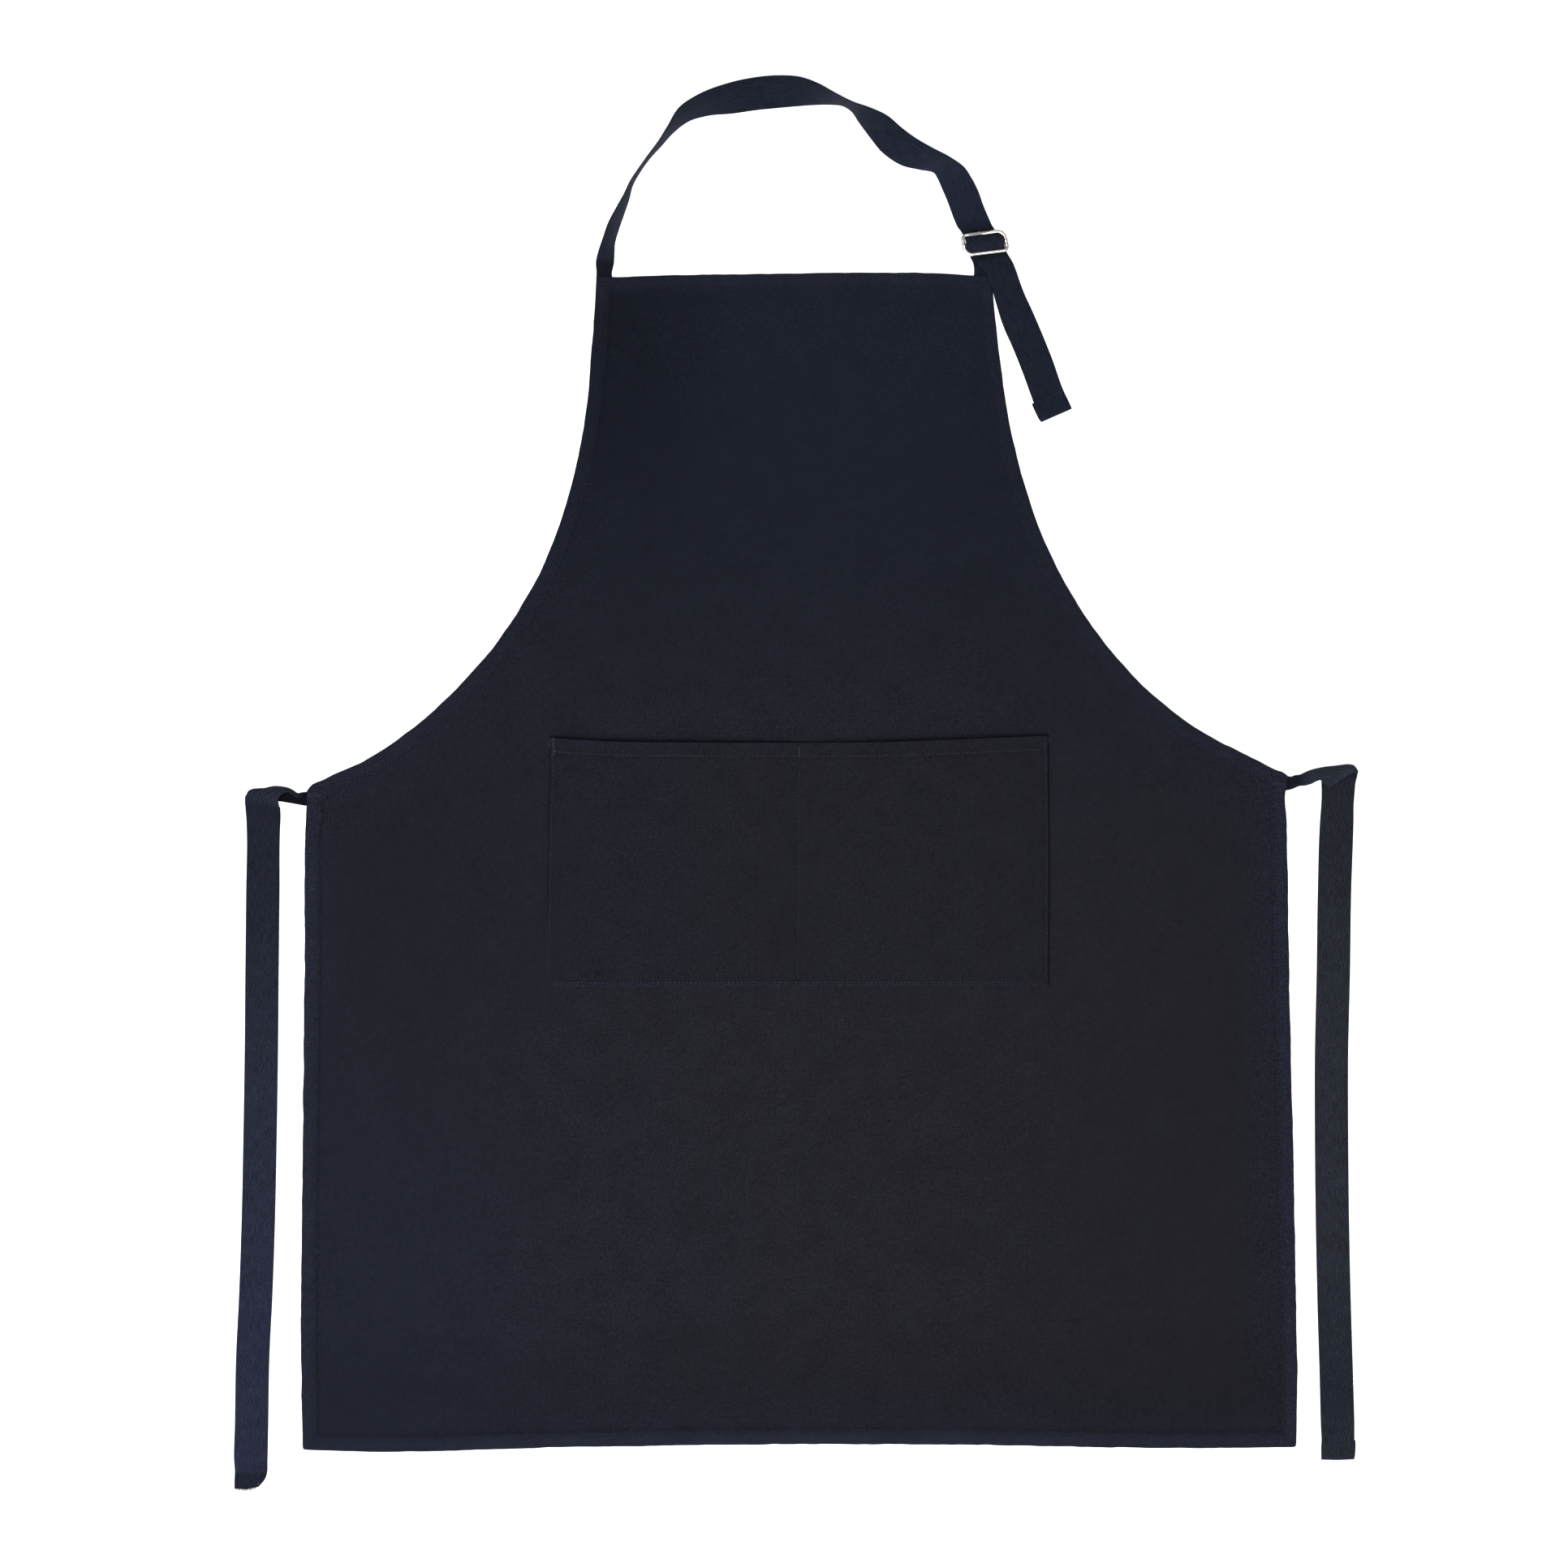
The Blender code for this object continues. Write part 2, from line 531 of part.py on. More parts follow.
def main():
    clear_scene()
    parts = new_collection("bib_apron")
    cutters = new_collection("cutters")
    cloth = new_material("navy_twill", (0.016, 0.018, 0.026), 0.9)
    twill_tape = new_material("navy_herringbone_tape", (0.018, 0.021, 0.034), 0.88)
    thread = new_material("navy_thread", (0.035, 0.042, 0.075), 0.7)
    metal = new_material("polished_nickel", (0.78, 0.76, 0.73), 0.15, 1.0)
    helper = new_material("cutter", (0.8, 0.3, 0.1), 0.5)

    make_panel(cloth, helper, parts, cutters)
    make_pocket(cloth, parts)
    make_hem_threads(thread, parts)
    make_pocket_threads(thread, parts)
    make_bartacks(thread, parts)
    make_tapes(twill_tape, parts)
    make_anchor(twill_tape, parts)
    make_slider(metal, helper, parts, cutters)
    make_end_threads(thread, parts)


main()
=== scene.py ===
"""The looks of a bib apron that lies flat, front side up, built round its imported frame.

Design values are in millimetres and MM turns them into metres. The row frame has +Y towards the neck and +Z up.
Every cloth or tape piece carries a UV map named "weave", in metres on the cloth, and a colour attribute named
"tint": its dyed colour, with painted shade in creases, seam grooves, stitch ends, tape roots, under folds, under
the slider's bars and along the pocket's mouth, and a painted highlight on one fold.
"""

import math
import random

import bpy
import numpy as np
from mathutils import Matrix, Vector, noise
from mathutils.geometry import delaunay_2d_cdt

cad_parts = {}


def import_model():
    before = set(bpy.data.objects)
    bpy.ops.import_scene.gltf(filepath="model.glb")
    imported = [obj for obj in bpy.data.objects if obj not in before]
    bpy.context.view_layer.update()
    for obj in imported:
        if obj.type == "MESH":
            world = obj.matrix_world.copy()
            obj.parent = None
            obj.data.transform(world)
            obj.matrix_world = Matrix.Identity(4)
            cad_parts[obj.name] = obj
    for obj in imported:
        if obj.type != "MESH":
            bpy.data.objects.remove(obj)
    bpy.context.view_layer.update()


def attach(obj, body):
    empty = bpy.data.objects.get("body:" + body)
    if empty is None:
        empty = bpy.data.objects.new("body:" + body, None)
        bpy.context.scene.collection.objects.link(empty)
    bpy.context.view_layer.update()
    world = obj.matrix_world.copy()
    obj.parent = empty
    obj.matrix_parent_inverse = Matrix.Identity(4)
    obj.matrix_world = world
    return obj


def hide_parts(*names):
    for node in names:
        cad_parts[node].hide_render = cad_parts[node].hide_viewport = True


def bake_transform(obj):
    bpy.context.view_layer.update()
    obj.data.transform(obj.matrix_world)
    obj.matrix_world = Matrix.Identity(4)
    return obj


MM = 0.001

# Cloth and tape
CLOTH = 0.6
STITCH_INSET = 9.2
TAPE_WIDE = 23.5
TAPE_THICK = 0.7
STITCH_PITCH = 3.0

# Slider
SLIDER_AT = (132.4, 441.9)
SLIDER_TURN = math.radians(7)
BAR_Z = 4.2
BAR_SPACING = 7.05
SLIDER_HALF = 15.05
SLIDER_LEAN = 0.83
WIRE_RADIUS = 1.15
EYE_INNER, EYE_OUTER, EYE_LONG = WIRE_RADIUS + 0.25, WIRE_RADIUS + 0.7, 2.5
GAP = 0.3
NECK_HINGE_Y = 419.9
ANCHOR_ROOT_X = 130.4

# The panel's outline, clockwise from its top left corner, one list for each hemmed edge
TOP_EDGE = [
    (-145, 418.6), (-131, 417.8), (-110, 418.8), (-38, 419.9), (30, 421), (70, 421), (101, 420.5),
    (122, 419.3), (137.5, 417.6),
]
RIGHT_ARMHOLE = [
    (137.5, 417.6), (139, 398), (143.3, 360), (151.5, 307), (162.5, 264), (184.2, 210), (221.9, 152),
    (255.5, 116.8), (286.5, 93.8), (329.5, 71.4), (347.2, 62),
]
RIGHT_SIDE = [(347.2, 62), (348.2, 30), (350, -80), (352.6, -196), (354.9, -312), (355.8, -370), (355, -418.2)]
BOTTOM_EDGE = [
    (355, -418.2), (280, -418.8), (107, -416.4), (-49, -416.4), (-165, -418.2), (-316, -421.3), (-355, -420),
]
LEFT_SIDE = [(-355, -420), (-356.2, -340), (-355.6, -254), (-353.6, -80), (-352.4, 35), (-351.5, 50.5)]
LEFT_ARMHOLE = [
    (-351.5, 50.5), (-336, 60.8), (-313.8, 70.8), (-279, 93.4), (-252.5, 116.6), (-220, 152), (-184, 210),
    (-163.3, 268), (-152.2, 326), (-147.2, 384), (-145, 418.6),
]
# Each edge with the seam that hems it and where that seam starts and ends, from the edge's corners
EDGES = {
    "top_hem_stitching": (TOP_EDGE, 11.5, 11.5),
    "right_armhole_stitching": (RIGHT_ARMHOLE, 9, 12),
    "right_side_stitching": (RIGHT_SIDE, 12, 9),
    "bottom_hem_stitching": (BOTTOM_EDGE, 10.5, 10.5),
    "left_side_stitching": (LEFT_SIDE, 9, 9),
    "left_armhole_stitching": (LEFT_ARMHOLE, 10, 9),
}
# Where a tape is sewn under the hem: low corner, high corner, room under the hem, how far the hem is lifted
ROOTS = [
    ((-145.4, 409.5), (-133.6, 425), 1.1, 0.45),
    ((124.4, 409.5), (136.4, 425), 1.75, 1.0),
    ((-360, 39.6), (-343, 51.4), 1.1, 0.45),
    ((339, 50.6), (360, 62.4), 1.1, 0.45),
]
# Where the outline swells out over a tape that is sewn under it: centre, reach, how far
SWELLS = [
    ((-346.5, 53.5), 6.0, 2.1), ((346.5, 60.5), 5.5, 1.6), ((348.4, 56.5), 4.5, 1.3), ((347.0, 43.0), 10.0, -0.9),
]
# Cross-section of a hem, as inset from the edge and height: over the top from the rim, and underneath
HEM_RIM = (0, 0.9)
HEM_TOP = [
    (0.12, 1.25), (0.45, 1.6), (1.1, 1.78), (2.5, 1.84), (4.5, 1.82), (6.6, 1.8), (8.2, 1.76), (8.8, 1.62),
    (9.2, 1.5), (9.6, 1.62), (10.2, 1.72), (10.7, 1.62), (11.3, 1.25), (12.1, 0.86), (13.3, 0.66), (15, 0.6),
]
HEM_UNDER = [
    (0.12, 0.55), (0.45, 0.2), (1.1, 0.02), (3, 0), (6, 0), (8.7, 0), (9.2, 0.25), (9.7, 0), (10.3, 0),
    (10.5, 0.5), (11, 0.45), (12, 0.15), (13.3, 0.03), (15, 0),
]
# Soft creases pulled by the right waist tie: start, end, depth, width
CREASES = [
    ((334, 54), (333.6, 43), 0.45, 1.6),
    ((318, 50), (327, 30), 0.5, 3.2),
    ((300, 62), (322, 56), 0.3, 3.0),
]

# Pocket
POCKET_LOW_LEFT, POCKET_LOW_RIGHT = (-180.6, -88.7), (178.3, -88.2)
POCKET_TOP_LEFT, POCKET_TOP_RIGHT = (-177.9, 90.3), (177.9, 91.2)
POCKET_WIDE, POCKET_DEEP = 355.6, 179.2
MOUTH_SAG = 5.2
POCKET_LIFT = 3.2
POCKET_RISE = 0.35
MOUTH_HEM = 11.7
MOUTH_STITCH = 10.7
EDGE_FOLD = 9.0
EDGE_STITCH = 2.5

# Stitches: place along a stitch, thickness there and height, as shares of its half length and its radius
STITCH_RINGS = [
    (-1, 0.35, -0.5), (-0.8, 0.8, -0.12), (-0.62, 1, 0.1), (0, 1.03, 0.16), (0.62, 1, 0.1), (0.8, 0.8, -0.12),
    (1, 0.35, -0.5),
]
STITCH_SIDES = 6
STITCH_RADIUS = 0.3
# painted shade: the pocket's stitches are darkened at their ends, where they go down into the cloth
STITCH_END_PAINTED_SHADE = 0.12  # how dark a stitch goes where it dips into the pocket's cloth

# Colours, linear: dyed colours, and painted shade and a painted highlight for the tapes
BIB = (0.0126, 0.0156, 0.0254)
SKIRT = (0.0172, 0.0172, 0.0229)
WORN_BLUE = (0.0168, 0.0196, 0.0318)
HEM_BLUE = (0.0216, 0.0250, 0.0425)
POCKET_TINT = (0.0154, 0.0156, 0.0212)
# painted shade in the creases where the ties come out from under the hem, and under the left tie's arch
CREASE_PAINTED_SHADE = (0.0040, 0.0050, 0.0085)
NECK_ROOT = (0.0150, 0.0185, 0.0330)
# painted shade where tapes come out from under the hem or the slider's bars, and just under the right tie's fold
TAPE_PAINTED_SHADE = (0.0070, 0.0088, 0.0136)
NECK_TOP = (0.0131, 0.0163, 0.0285)
NECK_RIGHT = (0.0149, 0.0185, 0.0351)
STRAP_WINDOW = (0.0155, 0.0180, 0.0310)
TAIL_TINT = (0.0130, 0.0166, 0.0288)
ANCHOR_TINT = (0.0104, 0.0134, 0.0245)
# painted shade at the right tie's root
ROOT_PAINTED_SHADE = (0.0085, 0.0106, 0.0178)
LEFT_TOP = (0.0155, 0.0182, 0.0308)
LEFT_MIDDLE = (0.0219, 0.0256, 0.0446)
LEFT_LOW = (0.0223, 0.0259, 0.0519)
LEFT_END = (0.0147, 0.0170, 0.0313)
LEFT_ARCH = (0.0194, 0.0233, 0.0373)
RIGHT_FLAP = (0.0242, 0.0293, 0.0391)
# painted highlight along the rim of the right tie's fold
FOLD_PAINTED_HIGHLIGHT = (0.0340, 0.0400, 0.0520)
RIGHT_TOP = (0.0193, 0.0216, 0.0315)
RIGHT_MIDDLE = (0.0233, 0.0270, 0.0372)
RIGHT_LOW = (0.0174, 0.0209, 0.0313)
TWILL_DEPTH = 2.2  # how strongly the ribs show
DARKEST = 0.12  # how dark a rib's valley may go
TAPE_DEPTH, WORN_DEPTH = 0.42, 0.17
THREAD = (0.030, 0.034, 0.052)
HEM_THREAD = (0.0138, 0.0170, 0.0310)
MOUTH_THREAD = (0.024, 0.027, 0.042)
TACK_THREAD = (0.026, 0.031, 0.052)
LOCK_THREAD = (0.060, 0.066, 0.095)
LOOSE_THREAD = (0.11, 0.12, 0.16)
FRAYED_THREAD = (0.026, 0.028, 0.048)
PALE_THREAD = (0.22, 0.23, 0.30)
ALBEDO = 0.8  # reflectance for a colour as it looks under the studio light

# What the camera sees, in metres
VIEW_CENTRE = (-0.0110, 0.0557)
VIEW_WIDE = 1.1206


# ---------------------------------------------------------------- curves

def hermite(values, knots, at):
    """Values at places along a smooth curve through the given ones, its tangents weighed by the knots' spacing."""
    gaps = np.diff(knots)
    slopes = np.diff(values, axis=0) / gaps[:, None]
    inner = (slopes[:-1] * gaps[1:, None] + slopes[1:] * gaps[:-1, None]) / (gaps[:-1] + gaps[1:])[:, None]
    tangents = np.vstack([slopes[:1], inner, slopes[-1:]])
    i = np.clip(np.searchsorted(knots, at, "right") - 1, 0, len(knots) - 2)
    t = ((at - knots[i]) / gaps[i])[:, None]
    gap = gaps[i][:, None]
    return (
        values[i] * (2 * t**3 - 3 * t**2 + 1)
        + tangents[i] * gap * (t**3 - 2 * t**2 + t)
        + values[i + 1] * (3 * t**2 - 2 * t**3)
        + tangents[i + 1] * gap * (t**3 - t**2)
    )


def lengths(points):
    return np.concatenate([[0], np.cumsum(np.linalg.norm(np.diff(points, axis=0), axis=1))])


def smooth_curve(points, spacing):
    """Evenly spaced points on a smooth curve through the given ones."""
    points = np.array(points, float)
    knots = lengths(points)
    dense = hermite(points, knots, np.linspace(0, knots[-1], 40 * len(points)))
    along = lengths(dense)
    at = np.linspace(0, along[-1], max(2, round(along[-1] / spacing) + 1))
    return np.stack([np.interp(at, along, dense[:, k]) for k in range(dense.shape[1])], axis=1)


def waves(places, scale, seed):
    """Smooth noise between -1 and 1 along a line."""
    return np.array([noise.noise(Vector((p / scale, seed, 0.37 * seed))) for p in places]) * 1.8


def step(x, low, high):
    t = np.clip((x - low) / (high - low), 0, 1)
    return t * t * (3 - 2 * t)


def bell(x, width):
    return np.exp(-((x / width) ** 2))


def mix(a, b, share):
    share = np.asarray(share)[..., None]
    return np.asarray(a) * (1 - share) + np.asarray(b) * share


# ---------------------------------------------------------------- meshes

def new_piece(name, points, faces, uvs, tints, material, body=None, slot=None, replaces=()):
    """A closed mesh piece from points in millimetres, with its weave map and its tint, painted shade included."""
    mesh = bpy.data.meshes.new(name)
    mesh.from_pydata((np.asarray(points) * MM).tolist(), [], faces)
    if uvs is not None:
        layer = mesh.uv_layers.new(name="weave")
        loops = np.zeros(len(mesh.loops), np.int32)
        mesh.loops.foreach_get("vertex_index", loops)
        layer.data.foreach_set("uv", (np.asarray(uvs)[loops] * MM).astype(np.float32).ravel())
    colours = np.ones((len(mesh.vertices), 4), np.float32)
    colours[:, :3] = tints
    attribute = mesh.attributes.new("tint", "FLOAT_COLOR", "POINT")
    attribute.data.foreach_set("color", colours.ravel())
    mesh.shade_smooth()
    mesh.materials.append(material)
    mesh.update()
    make_outward(mesh)
    obj = bpy.data.objects.new(name, mesh)
    bpy.context.scene.collection.objects.link(obj)
    if body:
        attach(obj, body)
    if replaces:
        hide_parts(*replaces)
    return obj


def make_outward(mesh):
    """Turns the faces of a closed mesh outwards if they face in."""
    mesh.calc_loop_triangles()
    points = np.zeros(len(mesh.vertices) * 3)
    mesh.vertices.foreach_get("co", points)
    corners = np.zeros(len(mesh.loop_triangles) * 3, np.int32)
    mesh.loop_triangles.foreach_get("vertices", corners)
    a, b, c = points.reshape(-1, 3)[corners.reshape(-1, 3)].transpose(1, 0, 2)
    if (a * np.cross(b, c)).sum() < 0:
        mesh.flip_normals()


def block(start, rows, columns):
    """The numbers of a grid of points, row by row."""
    return start + np.arange(rows * columns).reshape(rows, columns)


def grid_faces(index, closed=False, flip=False):
    """Quads between the rows of a grid of point numbers. A closed grid joins its last column to its first."""
    after = np.roll(index, -1, axis=1)
    if not closed:
        index, after = index[:, :-1], after[:, :-1]
    quads = np.stack([index[:-1], after[:-1], after[1:], index[1:]], axis=2).reshape(-1, 4)
    return (quads[:, ::-1] if flip else quads).tolist()


def tube_faces(start, rings, sides):
    """The faces of a tube made of rings of points, with both its ends closed."""
    index = block(start, rings, sides)
    return grid_faces(index, closed=True) + [index[0, ::-1].tolist(), index[-1].tolist()]


def tube_points(path, radii, sides, broad=1.0):
    """The rings of a tube along a path, with a radius at each of its points, that much broader than it is high."""
    ahead = np.gradient(path, axis=0)
    ahead /= np.linalg.norm(ahead, axis=1, keepdims=True)
    aside = np.cross(ahead, (0, 0, 1.0))
    aside /= np.maximum(np.linalg.norm(aside, axis=1, keepdims=True), 1e-6)
    above = np.cross(aside, ahead)
    turn = (np.arange(sides) * 2 * math.pi / sides)[None, :, None]
    ring = broad * aside[:, None] * np.cos(turn) + above[:, None] * np.sin(turn)
    return (path[:, None] + ring * np.asarray(radii)[:, None, None]).reshape(-1, 3)


def ribbon(name, rows, along_tints, material, replaces, under_tints=None, start_v=0.0,
           columns=13, spacing=2.5):
    """A tape as a closed strip through rows of three or more points across it, with round selvedges.

    along_tints lists a distance along the tape, or back from its end if below zero, and a colour. under_tints does
    the same for its other face.
    Returns the tape's length in millimetres.
    """
    rows = np.array(rows, float)
    wide = rows.shape[1]
    knots = lengths(rows[:, wide // 2])
    at = [0.0]
    for low, high in zip(knots, knots[1:]):
        count = max(1, math.ceil((high - low) / spacing))
        at += [low + (high - low) * (i + 1) / count for i in range(count)]
    at = np.array(at)
    rails = hermite(rows.reshape(len(rows), -1), knots, at).reshape(len(at), wide, 3)
    across = np.linspace(-1, 1, columns)
    middle = np.stack([hermite(r, np.linspace(-1, 1, wide), across) for r in rails])
    du = np.gradient(middle, axis=1)
    dv = np.gradient(middle, axis=0)
    normal = np.cross(du, dv)
    normal /= np.maximum(np.linalg.norm(normal, axis=2, keepdims=True), 1e-9)
    if normal[len(normal) // 2, columns // 2, 2] < 0:
        normal = -normal
    edge = du / np.maximum(np.linalg.norm(du, axis=2, keepdims=True), 1e-9)
    half = TAPE_THICK / 2
    thin = half * (1 - 0.25 * np.abs(across) ** 8)[None, :, None]
    top, low = middle + normal * thin, middle - normal * thin
    right = middle[:, -1:] + edge[:, -1:] * half * 0.7
    left = middle[:, :1] - edge[:, :1] * half * 0.7
    loop = np.concatenate([top, right, low[:, ::-1], left], axis=1)
    round_it = loop.shape[1]
    over_tint, under_tint = (
        np.stack([np.interp(at, [s % at[-1] for s, _ in marks], [c[k] for _, c in marks]) for k in range(3)], axis=1)
        for marks in (along_tints, under_tints or along_tints)
    )
    tints = np.repeat(over_tint[:, None], round_it, axis=1)
    tints[:, columns + 1:2 * columns + 1] = under_tint[:, None]
    tints = tints.reshape(-1, 3)
    u_top = across * TAPE_WIDE / 2
    u = np.concatenate([u_top, [TAPE_WIDE / 2 + 0.3], u_top[::-1], [-TAPE_WIDE / 2 - 0.3]])
    uvs = np.stack(np.broadcast_arrays(u[None], (start_v + at)[:, None]), axis=2).reshape(-1, 2)
    faces = grid_faces(block(0, len(at), round_it), closed=True)
    for ring, flip in ((0, True), (len(at) - 1, False)):
        base = ring * round_it
        cap = []
        for c in range(columns - 1):
            cap.append((base + c, base + c + 1, base + 2 * columns - 1 - c, base + 2 * columns - c))
        cap.append((base + columns - 1, base + columns, base + columns + 1))
        cap.append((base + 2 * columns, base + 2 * columns + 1, base))
        faces += [f[::-1] for f in cap] if flip else cap
    tape = new_piece(name, loop.reshape(-1, 3), faces, uvs, tints * ALBEDO, material, slot="herringbone_tape",
                     replaces=replaces)
    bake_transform(tape)
    return float(at[-1])


def stitches(name, places, material, radius=STITCH_RADIUS, end_shade=1.0, **where):
    """Short plump stitches, each a centre, a heading in degrees, a length, a side (1 up, -1 down) and a tint.

    The end shade is how much of the tint is left at a stitch's two ends: painted shade where it goes down into the
    cloth.
    """
    turn = np.arange(STITCH_SIDES) * 2 * math.pi / STITCH_SIDES
    points, tints, faces = [], [], []
    for centre, heading, long, side, tint in places:
        angle = math.radians(heading)
        ahead = np.array([math.cos(angle), math.sin(angle), 0])
        aside = np.array([-ahead[1], ahead[0], 0])
        faces += tube_faces(len(points), len(STITCH_RINGS), STITCH_SIDES)
        for x, r, z in STITCH_RINGS:
            spine = np.array(centre) + ahead * x * long / 2 + np.array([0, 0, z * radius * side])
            for t in turn:
                height = math.sin(t) * r * radius * 0.8
                points.append(spine + aside * math.cos(t) * r * radius + np.array([0, 0, height]))
                # painted shade on a stitch's end rings, where it goes down into the cloth
                tints.append(tint if abs(x) < 0.7 else tuple(c * end_shade for c in tint))
    new_piece(name, points, faces, None, tints, material, slot="thread", **where)


def thread_tints(count, seed, base):
    draw = random.Random(seed)
    shades = [draw.uniform(0.55, 1.3) * ALBEDO for _ in range(count)]
    return [tuple(c * shade for c in base) for shade in shades]


def seam(name, line, material, seed, under=None, pitch=STITCH_PITCH, long=2.5, dye=THREAD, end_shade=1.0, **where):
    """Even stitches along a line of points, and along the matching line underneath if there is one."""
    draw = random.Random(seed)
    places = []
    for path, side in ((line, 1), (under, -1)):
        if path is None:
            continue
        path = np.array(path, float)
        along = lengths(path)
        count = int(along[-1] / pitch)
        offset = (along[-1] - count * pitch) / 2 + pitch / 2
        for i, tint in enumerate(thread_tints(count, seed, dye)):
            s = offset + i * pitch
            centre, before, after = ([np.interp(p, along, path[:, k]) for k in range(3)] for p in (s, s - 0.4, s + 0.4))
            heading = math.degrees(math.atan2(after[1] - before[1], after[0] - before[0])) + draw.uniform(-5, 5)
            places.append((centre, heading, long * draw.uniform(0.9, 1.08), side, tint))
    stitches(name, places, material, end_shade=end_shade, **where)


def end_seam(stem, line, thread, seed, body, long=2.4):
    """The seam across the end of a tape."""
    seam(f"{stem}_thread", smooth_curve(line, 0.8), thread, seed, pitch=3.1, long=long, body=body,
         replaces=[f"{stem}_stitching"])


# ---------------------------------------------------------------- materials

class Nodes:
    """Adds shader nodes to a tree, and links or sets their inputs."""

    def __init__(self, tree):
        self.tree = tree

    def put(self, socket, value):
        if isinstance(value, bpy.types.NodeSocket):
            self.tree.links.new(value, socket)
        else:
            socket.default_value = value

    def math(self, operation, a, b=0.0, c=0.0):
        node = self.tree.nodes.new("ShaderNodeMath")
        node.operation = operation
        for socket, value in zip(node.inputs, (a, b, c)):
            self.put(socket, value)
        return node.outputs[0]

    def add(self, a, b):
        return self.math("ADD", a, b)

    def times(self, a, b):
        return self.math("MULTIPLY", a, b)

    def times_add(self, a, b, c):
        return self.math("MULTIPLY_ADD", a, b, c)

    def centred(self, value, reach):
        """A value from 0 to 1 spread evenly round zero."""
        return self.times_add(value, reach, -reach / 2)

    def vector(self, operation, a, b=(0, 0, 0), scale=1.0):
        node = self.tree.nodes.new("ShaderNodeVectorMath")
        node.operation = operation
        self.put(node.inputs[0], a)
        if operation == "SCALE":
            self.put(node.inputs["Scale"], scale)
        else:
            self.put(node.inputs[1], b)
        return node.outputs["Value"] if operation == "DOT_PRODUCT" else node.outputs["Vector"]

    def noise(self, vector, scale, detail=2.0, roughness=0.5):
        node = self.tree.nodes.new("ShaderNodeTexNoise")
        node.normalize = True
        self.put(node.inputs["Vector"], vector)
        node.inputs["Scale"].default_value = scale
        node.inputs["Detail"].default_value = detail
        node.inputs["Roughness"].default_value = roughness
        return node.outputs["Fac"]

    def noise_vector(self, vector, scale, reach):
        """Three noises in one vector, spread evenly round zero."""
        node = self.tree.nodes.new("ShaderNodeTexNoise")
        self.put(node.inputs["Vector"], vector)
        node.inputs["Scale"].default_value = scale
        node.inputs["Detail"].default_value = 1
        return self.vector("SCALE", self.vector("SUBTRACT", node.outputs["Color"], (0.5, 0.5, 0.5)), scale=reach)

    def stretched_noise(self, vector, stretch, scale, detail=1):
        return self.noise(self.vector("MULTIPLY", vector, stretch), scale, detail)

    def weave_map(self):
        node = self.tree.nodes.new("ShaderNodeUVMap")
        node.uv_map = "weave"
        return node.outputs["UV"]

    def tint(self):
        node = self.tree.nodes.new("ShaderNodeAttribute")
        node.attribute_name = "tint"
        return node.outputs["Color"]

    def split(self, vector):
        node = self.tree.nodes.new("ShaderNodeSeparateXYZ")
        self.put(node.inputs[0], vector)
        return node.outputs[0], node.outputs[1]

    def ramp(self, value, low, high, to_low=0.0, to_high=1.0):
        node = self.tree.nodes.new("ShaderNodeMapRange")
        node.interpolation_type = "SMOOTHSTEP"
        self.put(node.inputs["Value"], value)
        for name, number in (("From Min", low), ("From Max", high), ("To Min", to_low), ("To Max", to_high)):
            node.inputs[name].default_value = number
        return node.outputs["Result"]

    def blend(self, a, b, share):
        node = self.tree.nodes.new("ShaderNodeMix")
        node.data_type = "RGBA"
        self.put(node.inputs["Factor"], share)
        self.put(node.inputs["A"], a)
        self.put(node.inputs["B"], b)
        return next(o for o in node.outputs if o.type == "RGBA")

    def coordinates(self, kind="Object"):
        return self.tree.nodes.new("ShaderNodeTexCoord").outputs[kind]

    def bump(self, height, strength, distance):
        node = self.tree.nodes.new("ShaderNodeBump")
        self.put(node.inputs["Height"], height)
        node.inputs["Strength"].default_value = strength
        node.inputs["Distance"].default_value = distance
        self.tree.links.new(node.outputs["Normal"], self.shader.inputs["Normal"])

    def wave(self, place, turns):
        """A sine wave over the cloth, from how often it repeats per metre along u and v."""
        phase = self.vector("DOT_PRODUCT", place, (*(2 * math.pi * t for t in turns), 0))
        return self.math("SINE", phase)

    def finish_cloth(self, place, value, cast_scale, cast):
        """The cloth's colour and nap: its tint made lighter and darker, a faint cast and a few pale specks of lint."""
        colour = self.vector("MULTIPLY", self.vector("SCALE", self.tint(), scale=value),
                             self.vector("ADD", self.noise_vector(place, cast_scale, cast), (1, 1, 1)))
        specks = self.times(self.ramp(self.noise(place, 900, 0), 0.86, 0.92), 0.6)
        inputs = self.shader.inputs
        self.put(inputs["Base Color"], self.blend(colour, (0.05, 0.055, 0.075, 1), specks))
        inputs["Sheen Weight"].default_value = 0.03
        inputs["Sheen Roughness"].default_value = 0.6
        inputs["Sheen Tint"].default_value = (0.55, 0.62, 0.9, 1)


def new_material(name, roughness, specular=0.5, metallic=0.0):
    """The nodes of a new material, with its shader at hand."""
    material = bpy.data.materials.new(name)
    material.use_nodes = True
    n = Nodes(material.node_tree)
    n.material, n.shader = material, material.node_tree.nodes["Principled BSDF"]
    for key, value in (("Roughness", roughness), ("Specular IOR Level", specular), ("Metallic", metallic)):
        n.shader.inputs[key].default_value = value
    return n


